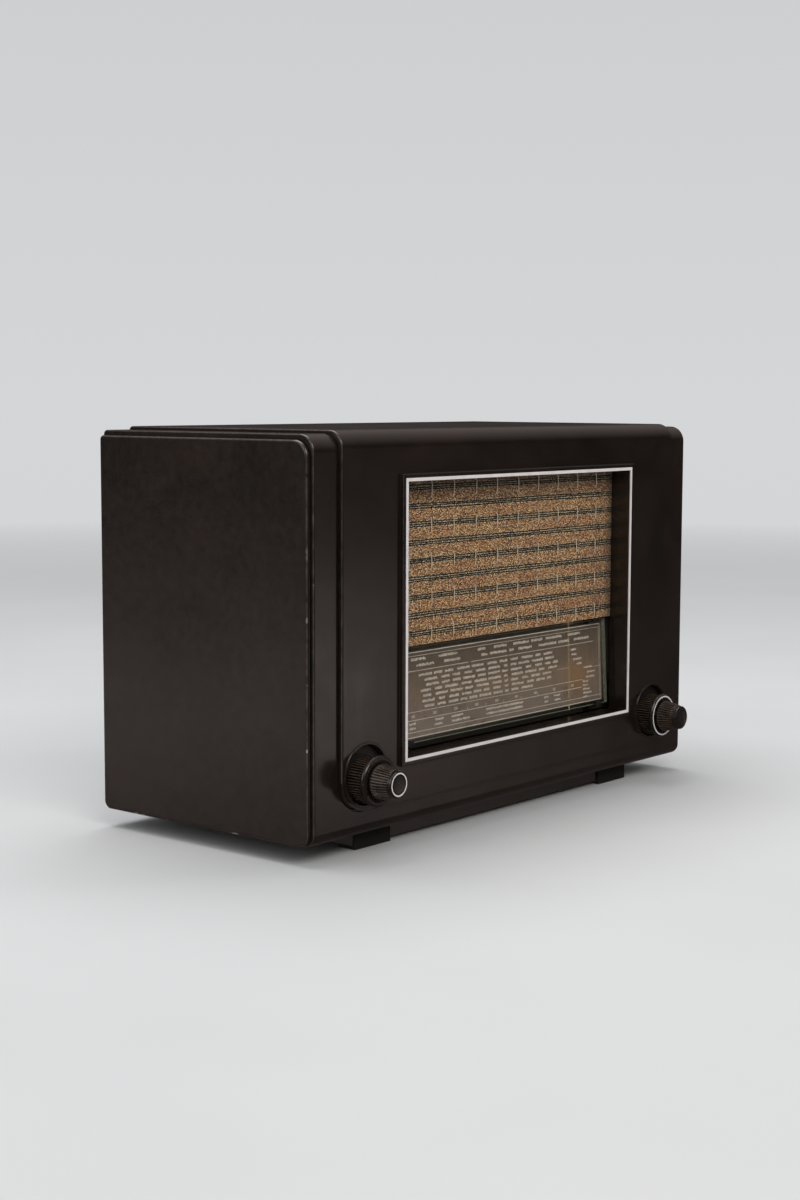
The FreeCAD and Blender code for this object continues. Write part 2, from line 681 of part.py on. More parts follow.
def dial_plate():
    y0 = at(PLATE_BACK)
    y1 = y0 + PLATE_THICK
    plate = box(PLATE_LEFT, PLATE_RIGHT, y0, y1, PLATE_LOW, PLATE_TOP)
    left_tab = box(PLATE_LEFT, TAB_LEFT, y0, y1, PLATE_TOP, TAB_TOP)
    right_tab = box(TAB_RIGHT, PLATE_RIGHT, y0, y1, PLATE_TOP, TAB_TOP)
    left_leg = box(PLATE_LEFT, PLATE_LEFT + 1.2, y1, at(CH_FRONT), FLOOR + 49.0, FLOOR + 61.0)
    right_leg = box(PLATE_RIGHT - 1.2, PLATE_RIGHT, y1, at(CH_FRONT), FLOOR + 49.0, FLOOR + 61.0)
    parts = [plate, left_tab, right_tab, left_leg, right_leg]
    for x, z in pulley_spots().values():
        parts.append(rod_y(x, z, y1, y1 + 2.5, 2.6))
        parts.append(rod_y(x, z, y1, y1 + 7.0, 1.5))
        parts.append(rod_y(x, z, y1 + 7.0, y1 + 7.8, 2.6))
    return fuse(parts)


def lamp_holders():
    made = []
    for side in (-1.0, 1.0):
        x = side * LAMP_X
        y = at(10.0)
        cup = rod_z(x, y, FLOOR + 72.0, FLOOR + 84.0, 5.6)
        cup = cup.cut(rod_z(x, y, FLOOR + 74.0, FLOOR + 85.0, 4.8))
        strap = box(x - 3.0, x + 3.0, y, at(PLATE_BACK), FLOOR + 71.0, FLOOR + 72.0)
        tab = box(x - 3.0, x + 3.0, at(PLATE_BACK) - 1.0, at(PLATE_BACK), FLOOR + 72.0, FLOOR + 82.0)
        made.append(fuse([cup, strap, tab]))
    return Part.makeCompound(made)


def dial_lamps():
    made = []
    for side in (-1.0, 1.0):
        x = side * LAMP_X
        y = at(10.0)
        cap = rod_z(x, y, FLOOR + 74.0, FLOOR + 84.0, 4.8)
        neck = rod_z(x, y, FLOOR + 84.0, FLOOR + 87.0, 3.6)
        globe = Part.makeSphere(5.2, Vec(x, y, FLOOR + 91.0))
        made.append(fuse([cap, neck, globe]))
    return Part.makeCompound(made)


def dial_pointer():
    """Needle that leans back with the glass and is fixed to the front of its carriage."""
    bend = FLOOR + 117.0
    top = CARRIAGE_TOP - 2.0
    outline = [(at(POINTER_LOW_BACK), POINTER_LOW), (at(POINTER_LOW_BACK + POINTER_THICK), POINTER_LOW),
               (at(POINTER_TOP_BACK + POINTER_THICK), bend), (at(POINTER_TOP_BACK + POINTER_THICK), top),
               (at(POINTER_TOP_BACK), top), (at(POINTER_TOP_BACK), bend)]
    return prism_x(outline, POINTER_X - 0.7, POINTER_X + 0.7)


def pointer_carriage():
    """Block that hooks over the top edge of the dial plate and is clamped on the cord."""
    x0 = POINTER_X - 7.0
    x1 = POINTER_X + 7.0
    front = at(POINTER_TOP_BACK + POINTER_THICK)
    block = box(x0, x1, front, at(RUN_BACK + 1.1), CARRIAGE_LOW, CARRIAGE_TOP)
    slot = box(x0 - 1.0, x1 + 1.0, at(PLATE_BACK) - 0.1, at(PLATE_BACK + PLATE_THICK) + 0.1,
               CARRIAGE_LOW - 1.0, PLATE_TOP + 0.1)
    hollow = box(x0 - 1.0, x1 + 1.0, at(RUN_BACK - 3.1), at(RUN_BACK + 2.0), CARRIAGE_LOW - 1.0, RUN_Z - 3.0)
    cord_way = rod_x(at(RUN_BACK), RUN_Z, x0 - 1.0, x1 + 1.0, CORD_R + 0.15)
    return block.cut(slot).cut(hollow).cut(cord_way)


# ---- cord, drum, pulleys ----
def turned(x, z, profile):
    """Turn a list of radius, Y pairs about an axis that runs along Y."""
    pts = [Vec(x + r, y, z) for r, y in profile]
    face = Part.Face(Part.makePolygon(pts + [pts[0]]))
    return face.revolve(Vec(x, 0, z), AXIS_Y, 360.0)


def pulley(x, z):
    y = at(RUN_BACK)
    groove = PULLEY_CORD_R - CORD_R - 0.05
    rim = 7.6
    return turned(x, z, [(1.55, y - 1.9), (rim, y - 1.9), (rim, y - 1.3), (groove, y - 0.6),
                         (groove, y + 0.6), (rim, y + 1.3), (rim, y + 1.9), (1.55, y + 1.9)])


def cord_drum():
    y = at(DRUM_BACK)
    groove = DRUM_CORD_R - CORD_R - 0.05
    rim = turned(DRUM_X, DRUM_Z, [(56.0, y - 3.0), (62.0, y - 3.0), (62.0, y - 2.2), (groove, y - 1.6),
                                  (groove, y + 1.6), (62.0, y + 2.2), (62.0, y + 3.0), (56.0, y + 3.0)])
    web = rod_y(DRUM_X, DRUM_Z, y + 1.4, y + 2.6, 57.0)
    hub = rod_y(DRUM_X, DRUM_Z, y - 2.6, y + 3.0, 8.0)
    drum = fuse([rim, web, hub])
    for k in range(6):
        a = k * math.pi / 3.0 + 0.3
        x = DRUM_X + 38.0 * math.cos(a)
        z = DRUM_Z + 38.0 * math.sin(a)
        drum = drum.cut(rod_y(x, z, y - 9.0, y + 9.0, 9.0))
    for k in (-1.0, 1.0):
        drum = drum.fuse(rod_y(DRUM_X + 14.0, DRUM_Z + k * 14.0, y - 2.4, y + 2.0, 1.5))
    return drum.cut(rod_y(DRUM_X, DRUM_Z, y - 9.0, y + 9.0, SHAFT_R))


def cord_spring():
    """Tension spring that keeps the cord tight, hooked over the drum's two pegs."""
    y = at(DRUM_BACK) - 0.9
    pitch = 1.1
    turns = 14
    tall = pitch * turns
    helix = Part.makeHelix(pitch, tall, 1.3)
    helix.translate(Vec(DRUM_X + 14.0, y, DRUM_Z - tall / 2.0))
    start = Vec(DRUM_X + 14.0 + 1.3, y, DRUM_Z - tall / 2.0)
    wire = Part.Wire([Part.makeCircle(0.35, start, AXIS_Y)])
    coil = Part.Wire(helix.Edges).makePipeShell([wire], True, True)
    return coil


def point_on(x, z, y, radius, angle):
    return Vec(x + radius * math.cos(angle), y, z + radius * math.sin(angle))


def cord_run(p, q):
    span = q.sub(p)
    rod = Part.makeCylinder(CORD_R, span.Length, p, span)
    return rod.fuse(Part.makeSphere(CORD_BEND_R, p)).fuse(Part.makeSphere(CORD_BEND_R, q))


def cord_wrap(x, z, y, radius, start, sweep):
    """Cord round a wheel, from the start angle, clockwise seen from the front."""
    p = point_on(x, z, y, radius, start)
    tangent = Vec(math.sin(start), 0, -math.cos(start))
    ring = Part.Face(Part.Wire([Part.makeCircle(CORD_R, p, tangent)]))
    return ring.revolve(Vec(x, 0, z), AXIS_Y, math.degrees(sweep))


def lower_tangent(xa, za, ra, xb, zb, rb):
    """Angle shared by both wheels where the line under both of them touches."""
    along = math.atan2(zb - za, xb - xa)
    tilt = math.asin((rb - ra) / math.hypot(xb - xa, zb - za))
    return along - math.pi / 2.0 - tilt


def dial_cord():
    y1 = at(RUN_BACK)
    y2 = at(DRUM_BACK)
    spots = pulley_spots()
    ax, az = spots["top_left"]
    bx, bz = spots["low_left"]
    cx, cz = spots["top_right"]
    r = PULLEY_CORD_R
    quarter = math.pi / 2.0
    to_drum = lower_tangent(bx, bz, r, DRUM_X, DRUM_Z, DRUM_CORD_R)
    from_spindle = lower_tangent(DRUM_X, DRUM_Z, DRUM_CORD_R, KNOB_X, KNOB_Z, SPINDLE_CORD_R)
    low = [
        cord_wrap(cx, cz, y1, r, quarter, quarter),
        cord_wrap(KNOB_X, KNOB_Z, y1, SPINDLE_CORD_R, 0.0, -from_spindle),
        cord_wrap(DRUM_X, DRUM_Z, y2, DRUM_CORD_R, 0.0, 2.0 * math.pi),
        cord_wrap(bx, bz, y1, r, to_drum, to_drum + 2.0 * math.pi - math.pi),
        cord_wrap(ax, az, y1, r, math.pi, quarter),
        cord_run(point_on(ax, az, y1, r, quarter), point_on(cx, cz, y1, r, quarter)),
        cord_run(point_on(cx, cz, y1, r, 0.0), point_on(KNOB_X, KNOB_Z, y1, SPINDLE_CORD_R, 0.0)),
        cord_run(point_on(KNOB_X, KNOB_Z, y1, SPINDLE_CORD_R, from_spindle),
                 point_on(DRUM_X, DRUM_Z, y2, DRUM_CORD_R, from_spindle)),
        cord_run(point_on(DRUM_X, DRUM_Z, y2, DRUM_CORD_R, to_drum), point_on(bx, bz, y1, r, to_drum)),
        cord_run(point_on(bx, bz, y1, r, math.pi), point_on(ax, az, y1, r, math.pi)),
    ]
    cord = low[0]
    for piece in low[1:]:
        cord = cord.fuse(piece)
    return cord


# ---- knobs and shafts ----
def toothed_wire(x, z, y, outer, depth, teeth):
    pts = []
    for k in range(teeth):
        for frac, radius in ((0.0, outer - depth), (0.25, outer), (0.55, outer), (0.8, outer - depth)):
            a = 2.0 * math.pi * (k + frac) / teeth
            pts.append(Vec(x + radius * math.cos(a), y, z + radius * math.sin(a)))
    return Part.makePolygon(pts + [pts[0]])


def ribbed(x, z, y0, y1, r0, r1, depth, teeth):
    return Part.makeLoft([toothed_wire(x, z, y0, r0, depth, teeth), toothed_wire(x, z, y1, r1, depth, teeth)],
                         True, True)


def face_ring(x, face, radii):
    """Cutter for a shallow ring groove in the front face of a knob."""
    return tube_y(x, KNOB_Z, at(face - 1.0), at(face + RING_DEEP), *radii)


def outer_knob(x, ring_groove):
    """Large knob: ribbed skirt that narrows forwards into a smooth bevelled flange."""
    skirt_part = ribbed(x, KNOB_Z, at(FLANGE_HEEL), at(SKIRT_END), SKIRT_FRONT_R, SKIRT_REAR_R,
                        SKIRT_RIB, SKIRT_RIBS)
    flange = rod_y(x, KNOB_Z, at(FLANGE_FACE), at(FLANGE_HEEL), FLANGE_R)
    flange = soften(flange, 1.1, lambda e: abs(e.BoundBox.YMax - at(FLANGE_FACE)) < 0.01)
    knob = skirt_part.fuse(flange)
    if ring_groove:
        knob = knob.cut(face_ring(x, FLANGE_FACE, FLANGE_RING))
    knob = knob.cut(rod_y(x, KNOB_Z, at(TUBE_TIP), at(0.0), TUBE_R))
    return knob.cut(rod_y(x, KNOB_Z, at(FLANGE_FACE - 1.0), at(0.0), TUBE_BORE))


def inner_knob(x, ring_groove):
    """Small knob: ribbed taper with a smooth rounded nose."""
    grip = ribbed(x, KNOB_Z, at(NOSE_HEEL), at(GRIP_END), GRIP_FRONT_R, GRIP_REAR_R, GRIP_RIB, GRIP_RIBS)
    nose = rod_y(x, KNOB_Z, at(-KNOB_REACH), at(NOSE_HEEL), NOSE_R)
    nose = soften(nose, 1.2, lambda e: abs(e.BoundBox.YMax - at(-KNOB_REACH)) < 0.01)
    knob = grip.fuse(nose)
    if ring_groove:
        knob = knob.cut(face_ring(x, -KNOB_REACH, NOSE_RING))
    return knob.cut(rod_y(x, KNOB_Z, at(SHAFT_TIP), at(0.0), SHAFT_R))


def long_shaft(x, back):
    return rod_y(x, KNOB_Z, at(SHAFT_TIP), at(back), SHAFT_R)


def tube_shaft(x, back):
    return tube_y(x, KNOB_Z, at(TUBE_TIP), at(back), TUBE_R, TUBE_BORE)


def tuning_spindle():
    y = at(RUN_BACK)
    groove = SPINDLE_CORD_R - CORD_R - 0.05
    reel = turned(KNOB_X, KNOB_Z, [(0.0, y - 2.4), (5.2, y - 2.4), (5.2, y - 1.6), (groove, y - 1.0),
                                   (groove, y + 1.0), (5.2, y + 1.6), (5.2, y + 2.4), (0.0, y + 2.4)])
    return long_shaft(KNOB_X, 42.0).cut(rod_y(KNOB_X, KNOB_Z, y - 2.4, y + 2.4, 9.0)).fuse(reel)


def spindle_bush():
    sleeve = tube_y(KNOB_X, KNOB_Z, at(CH_FRONT - 4.0), at(CH_FRONT + 6.0), 5.0, SHAFT_R + 0.05)
    collar = tube_y(KNOB_X, KNOB_Z, at(CH_FRONT - 2.0), at(CH_FRONT), 7.0, 4.9)
    return sleeve.fuse(collar)


def volume_tone_control():
    body = rod_y(-KNOB_X, KNOB_Z, at(CH_FRONT + SHEET), at(CH_FRONT + 28.0), 12.0)
    bush = rod_y(-KNOB_X, KNOB_Z, at(CH_FRONT - 7.0), at(CH_FRONT + SHEET), 4.9)
    lugs = []
    for k in (-1.0, 0.0, 1.0):
        for back in (8.0, 20.0):
            lugs.append(box(-KNOB_X + 5.0 * k - 1.2, -KNOB_X + 5.0 * k + 1.2, at(CH_FRONT + back),
                            at(CH_FRONT + back + 0.6), KNOB_Z - 19.0, KNOB_Z - 9.0))
    body = fuse([body, bush] + lugs)
    body = body.cut(rod_y(-KNOB_X, KNOB_Z, at(0.0), at(36.0), BUSH_BORE))
    return body.cut(rod_y(-KNOB_X, KNOB_Z, at(0.0), at(50.0), SHAFT_R + 0.05))


def control_nut():
    return hex_y(-KNOB_X, KNOB_Z, at(CH_FRONT - 2.6), at(CH_FRONT), 14.0, 4.9)


def waveband_rotor():
    disc = tube_y(KNOB_X, KNOB_Z, at(8.0), at(9.6), 11.0, TUBE_R)
    for k in range(4):
        a = k * math.pi / 2.0 + 0.4
        disc = disc.cut(rod_y(KNOB_X + 8.0 * math.cos(a), KNOB_Z + 8.0 * math.sin(a), at(5.0), at(12.0), 1.4))
    return disc


def waveband_switch():
    plate = tube_y(KNOB_X, KNOB_Z, at(3.0), at(4.2), 19.0, BUSH_BORE + 0.2)
    wafer = tube_y(KNOB_X, KNOB_Z, at(8.0), at(9.6), 20.0, 11.05)
    parts = [plate, wafer]
    for k in (-1.0, 1.0):
        parts.append(rod_y(KNOB_X + k * 15.5, KNOB_Z, at(3.0), at(16.0), 1.8))
    for k in range(10):
        a = math.radians(30.0 + 13.5 * k)
        x = KNOB_X + 19.5 * math.cos(a)
        z = KNOB_Z + 19.5 * math.sin(a)
        parts.append(box(x - 0.8, x + 0.8, at(8.3), at(9.3), z - 1.5, z + 3.5))
    return fuse(parts)


def switch_bracket():
    z0 = KNOB_Z - 22.0
    upright = box(KNOB_X - 19.0, KNOB_X + 13.0, at(16.0), at(17.2), z0, KNOB_Z + 8.0)
    arm = box(KNOB_X - 19.0, KNOB_X + 13.0, at(16.0), at(CH_FRONT), z0, z0 + 1.2)
    foot_tab = box(KNOB_X - 19.0, KNOB_X + 13.0, at(CH_FRONT) - 1.2, at(CH_FRONT), z0, z0 + 9.0)
    post = box(KNOB_X + 12.0, KNOB_X + 18.0, at(16.0), at(17.2), KNOB_Z - 4.0, KNOB_Z + 4.0)
    whole = fuse([upright, arm, foot_tab, post])
    return whole.cut(rod_y(KNOB_X, KNOB_Z, at(10.0), at(20.0), BUSH_BORE + 0.2))


# ---- tuning condenser ----


def gang_frame():
    base = box(GANG_X0, GANG_X1, at(GANG_Y0), at(GANG_Y1), GANG_LOW, GANG_LOW + 1.5)
    front = box(GANG_X0, GANG_X1, at(GANG_Y0), at(GANG_Y0 + 2.0), GANG_LOW, DRUM_Z + 24.0)
    back = box(GANG_X0, GANG_X1, at(GANG_Y1 - 2.0), at(GANG_Y1), GANG_LOW, DRUM_Z + 24.0)
    parts = [base, front, back]
    for x in (GANG_X0 + 6.0, GANG_X1 - 6.0):
        for back_y in (GANG_Y0 + 8.0, GANG_Y1 - 8.0):
            parts.append(rod_z(x, at(back_y), CH_TOP, GANG_LOW, 3.5))
    frame = fuse(parts)
    return frame.cut(rod_y(DRUM_X, DRUM_Z, at(GANG_Y0 - 5.0), at(GANG_Y1 + 5.0), SHAFT_R + 0.05))


def gang_stators():
    """Two banks of fixed vanes on insulating rods between the frame's ends."""
    made = []
    for start in VANE_STARTS:
        vanes = []
        for k in range(VANES):
            y0 = at(start + VANE_PITCH * k)
            vane = box(GANG_X0 + 3.0, DRUM_X - 5.0, y0, y0 + VANE_THICK, DRUM_Z - 19.0, DRUM_Z + 19.0)
            vanes.append(vane.cut(rod_y(DRUM_X, DRUM_Z, y0 - 1.0, y0 + 2.0, 8.0)))
        y_end = at(start + VANE_PITCH * (VANES - 1) + VANE_THICK)
        for z in (DRUM_Z - 17.0, DRUM_Z + 17.0):
            vanes.append(rod_y(GANG_X0 + 5.0, z, at(start), y_end, 1.2))
        made.append(fuse(vanes))
    return Part.makeCompound(made)


def stator_rods():
    """Insulating rods that carry each bank from the base of the frame."""
    made = []
    for start in VANE_STARTS:
        for k in (1.0, 4.0):
            y0 = at(start + VANE_PITCH * k + VANE_THICK)
            z0 = GANG_LOW + 1.5
            y1 = y0 + VANE_PITCH - VANE_THICK
            made.append(box(GANG_X0 + 3.0, GANG_X0 + 10.0, y0, y1, z0, DRUM_Z - 18.2))
    return Part.makeCompound(made)


def gang_rotor():
    parts = [rod_y(DRUM_X, DRUM_Z, at(DRUM_BACK - 5.0), at(GANG_Y1 + 4.0), SHAFT_R)]
    for start in VANE_STARTS:
        for k in range(VANES - 1):
            y0 = at(start + VANE_PITCH * (k + 0.5))
            vane = rod_y(DRUM_X, DRUM_Z, y0, y0 + VANE_THICK, 21.0)
            vane = vane.cut(box(DRUM_X - 30.0, DRUM_X, y0 - 1.0, y0 + 2.0, DRUM_Z - 30.0, DRUM_Z + 30.0))
            parts.append(vane)
    return fuse(parts)


# ---- chassis and what stands on it ----


def chassis():
    pan = box(-CH_HALF, CH_HALF, at(CH_FRONT), at(CH_REAR), CH_LOW, CH_TOP)
    inside = box(-CH_HALF + SHEET, CH_HALF - SHEET, at(CH_FRONT + SHEET), at(CH_REAR - SHEET), CH_LOW - 1.0,
                 CH_TOP - SHEET)
    parts = [pan.cut(inside)]
    for side in (-1.0, 1.0):
        x0 = min(side * CH_HALF, side * 154.0)
        x1 = max(side * CH_HALF, side * 154.0)
        parts.append(box(x0, x1, at(CH_FRONT), at(CH_REAR), CH_LOW - SHEET, CH_LOW))
    whole = fuse(parts)
    cuts = [rod_y(-KNOB_X, KNOB_Z, at(20.0), at(45.0), 4.9), rod_y(KNOB_X, KNOB_Z, at(20.0), at(45.0), 5.0)]
    for x, back in VALVE_SPOTS:
        cuts.append(rod_z(x, at(back), CH_TOP - 5.0, CH_TOP + 5.0, VALVE_SOCKET_R))
    for x in (-CH_BOLT_X, CH_BOLT_X):
        for back in CH_BOLT_BACK:
            cuts.append(rod_z(x, at(back), CH_LOW - 5.0, CH_LOW + 5.0, 2.1))
    for cutter in cuts:
        whole = whole.cut(cutter)
    return whole


def chassis_bolts():
    made = []
    for x in (-CH_BOLT_X, CH_BOLT_X):
        for back in CH_BOLT_BACK:
            y = at(back)
            head = rod_z(x, y, FLOOR - 2.6, FLOOR, 4.0)
            slot = box(x - 5.0, x + 5.0, y - 0.5, y + 0.5, FLOOR - 3.0, FLOOR - 1.6)
            made.append(head.fuse(rod_z(x, y, FLOOR, CH_LOW + 6.0, 2.0)).cut(slot))
            nut = rod_z(x, y, CH_LOW, CH_LOW + 3.2, 4.0)
            made.append(nut.cut(rod_z(x, y, CH_LOW - 1.0, CH_LOW + 5.0, 2.0)))
    return Part.makeCompound(made)


def laminated_core(x, back, half_x, half_y, tall, limb):
    """Shell-type core: a stack with two windows, standing on the chassis."""
    y = at(back)
    block = box(x - half_x, x + half_x, y - half_y, y + half_y, CH_TOP, CH_TOP + tall)
    for side in (-1.0, 1.0):
        a = side * limb
        b = side * (half_x - limb)
        block = block.cut(box(x + min(a, b), x + max(a, b), y - half_y - 1.0, y + half_y + 1.0,
                              CH_TOP + limb, CH_TOP + tall - limb))
    return block


def core_winding(x, back, half_x, half_y, tall, limb, bulge):
    """Coil wound on the middle limb of a core."""
    y = at(back)
    coil = box(x - half_x + limb + 0.5, x + half_x - limb - 0.5, y - half_y - bulge, y + half_y + bulge,
               CH_TOP + limb, CH_TOP + tall - limb)
    coil = soften(coil, 4.0, lambda e: e.BoundBox.ZLength > 5.0 and e.BoundBox.XLength < 0.01)
    return coil.cut(box(x - limb, x + limb, y - half_y, y + half_y, CH_TOP, CH_TOP + tall))


def valve_sockets():
    made = []
    for x, back in VALVE_SPOTS:
        y = at(back)
        base = rod_z(x, y, CH_TOP - 6.0, CH_TOP + 3.0, VALVE_SOCKET_R)
        flange = rod_z(x, y, CH_TOP, CH_TOP + 1.5, VALVE_SOCKET_R + 3.0)
        made.append(fuse([base, flange]))
    return Part.makeCompound(made)


def glass_tube(x, y, z0, z1, r, wall):
    """Open-bottomed glass envelope with a domed top and a small pip."""
    outer = rod_z(x, y, z0, z1 - r * 0.6, r)
    dome = Part.makeSphere(r, Vec(x, y, z1 - r))
    pip = Part.makeCone(1.6, 0.6, 4.0, Vec(x, y, z1 - 0.6), AXIS_Z)
    solid = fuse([outer, dome.common(box(x - 20, x + 20, y - 20, y + 20, z1 - r, z1 + 5.0)), pip])
    hollow = rod_z(x, y, z0 - 1.0, z1 - r, r - wall)
    hollow = hollow.fuse(Part.makeSphere(r - wall, Vec(x, y, z1 - r)))
    return solid.cut(hollow)


def valve_height(index):
    return 62.0 if index in TALL_VALVES else 52.0


def valve_bulbs():
    made = []
    for k, (x, back) in enumerate(VALVE_SPOTS):
        z0 = CH_TOP + 3.0
        made.append(glass_tube(x, at(back), z0, z0 + valve_height(k) - 4.0, 10.0, 0.9))
    return Part.makeCompound(made)


def valve_electrodes():
    made = []
    for k, (x, back) in enumerate(VALVE_SPOTS):
        y = at(back)
        z0 = CH_TOP + 3.0
        top = z0 + valve_height(k) - 22.0
        stem = rod_z(x, y, z0, z0 + 3.0, 9.1)
        wires = [rod_z(x + dx, y, z0, z0 + 9.0, 0.6) for dx in (-4.0, 4.0)]
        mica_low = rod_z(x, y, z0 + 9.0, z0 + 9.8, 8.0)
        plate = rod_z(x, y, z0 + 9.8, top, 5.5)
        mica_top = rod_z(x, y, top, top + 0.8, 8.0)
        made.append(fuse([stem, mica_low, plate, mica_top] + wires))
    return Part.makeCompound(made)


def smoothing_capacitor():
    x, back = CAN_SPOT
    y = at(back)
    base = rod_z(x, y, CH_TOP, CH_TOP + 4.0, 18.0)
    can = rod_z(x, y, CH_TOP + 4.0, CH_TOP + 64.0, 16.0)
    can = soften(can, 2.0, lambda e: abs(e.BoundBox.ZMin - (CH_TOP + 64.0)) < 0.01)
    return fuse([base, can])


def if_cans():
    made = []
    for x, back in IF_SPOTS:
        y = at(back)
        can = box(x - 12.5, x + 12.5, y - 12.5, y + 12.5, CH_TOP, CH_TOP + 56.0)
        can = soften(can, 3.0, lambda e: e.BoundBox.ZLength > 50.0)
        hollow = box(x - 11.7, x + 11.7, y - 11.7, y + 11.7, CH_TOP - 1.0, CH_TOP + 55.2)
        can = can.cut(soften(hollow, 2.2, lambda e: e.BoundBox.ZLength > 50.0))
        made.append(can.cut(rod_z(x, y, CH_TOP + 50.0, CH_TOP + 60.0, 3.0)))
    return Part.makeCompound(made)


def if_coils():
    made = []
    for x, back in IF_SPOTS:
        y = at(back)
        former = rod_z(x, y, CH_TOP, CH_TOP + 50.0, 4.0)
        coils = [rod_z(x, y, CH_TOP + z, CH_TOP + z + 6.0, 8.0) for z in (10.0, 32.0)]
        made.append(fuse([former] + coils))
    return Part.makeCompound(made)


def aerial_sockets():
    block = box(-150.0, -106.0, at(CH_REAR), REAR - 1.5, SOCKET_Z - 8.0, SOCKET_Z + 8.0)
    for x in AERIAL_X:
        block = block.cut(rod_y(x, SOCKET_Z, at(CH_REAR) + 1.0, REAR, 2.0))
    return block


def mains_inlet():
    y0 = at(CH_REAR)
    block = box(112.0, 144.0, y0, REAR - 1.5, SOCKET_Z - 9.0, SOCKET_Z + 9.0)
    block = block.cut(box(115.0, 141.0, y0 + 2.0, REAR, SOCKET_Z - 6.0, SOCKET_Z + 6.0))
    pins = [rod_y(128.0 + dx, SOCKET_Z, y0 + 1.0, REAR - 2.0, 2.4) for dx in (-7.0, 7.0)]
    return fuse([block] + pins)


NODES = {
    "cabinet_shell": cabinet_shell,
    "window_trim": window_trim,
    "feet": feet,
    "bottom_cover": bottom_cover,
    "rear_cover": rear_cover,
    "cover_screws": cover_screws,
    "baffle_board": baffle_board,
    "speaker_cloth": speaker_cloth,
    "board_screws": board_screws,
    "speaker_frame": speaker_frame,
    "speaker_surround": speaker_surround,
    "speaker_cone": speaker_cone,
    "voice_coil": voice_coil,
    "speaker_magnet": speaker_magnet,
    "dial_glass": dial_glass,
    "glass_pads": glass_pads,
    "glass_clips": glass_clips,
    "dial_plate": dial_plate,
    "lamp_holders": lamp_holders,
    "dial_lamps": dial_lamps,
    "dial_pointer": dial_pointer,
    "pointer_carriage": pointer_carriage,
    "dial_cord": dial_cord,
    "cord_drum": cord_drum,
    "cord_spring": cord_spring,
    "tuning_knob": lambda: inner_knob(KNOB_X, False),
    "tuning_spindle": tuning_spindle,
    "spindle_bush": spindle_bush,
    "waveband_knob": lambda: outer_knob(KNOB_X, True),
    "waveband_shaft": lambda: tube_shaft(KNOB_X, 13.0),
    "waveband_rotor": waveband_rotor,
    "waveband_switch": waveband_switch,
    "switch_bracket": switch_bracket,
    "volume_knob": lambda: inner_knob(-KNOB_X, True),
    "volume_shaft": lambda: long_shaft(-KNOB_X, 49.0),
    "tone_knob": lambda: outer_knob(-KNOB_X, False),
    "tone_shaft": lambda: tube_shaft(-KNOB_X, 35.5),
    "volume_tone_control": volume_tone_control,
    "control_nut": control_nut,
    "gang_frame": gang_frame,
    "gang_stators": gang_stators,
    "stator_rods": stator_rods,
    "gang_rotor": gang_rotor,
    "chassis": chassis,
    "chassis_bolts": chassis_bolts,
    "mains_transformer_core": lambda: laminated_core(*MAINS_SPOT, *MAINS_CORE),
    "mains_transformer_coil": lambda: core_winding(*MAINS_SPOT, *MAINS_CORE, 8.0),
    "output_transformer_core": lambda: laminated_core(*OUT_SPOT, *OUT_CORE),
    "output_transformer_coil": lambda: core_winding(*OUT_SPOT, *OUT_CORE, 5.0),
    "valve_sockets": valve_sockets,
    "valve_bulbs": valve_bulbs,
    "valve_electrodes": valve_electrodes,
    "smoothing_capacitor": smoothing_capacitor,
    "if_cans": if_cans,
    "if_coils": if_coils,
    "aerial_sockets": aerial_sockets,
    "mains_inlet": mains_inlet,
}

os.makedirs("parts", exist_ok=True)
for spot_name, (spot_x, spot_z) in pulley_spots().items():
    pulley(spot_x, spot_z).exportStep("parts/pulley_" + spot_name + ".step")
for node_name, make in NODES.items():
    make().exportStep("parts/" + node_name + ".step")
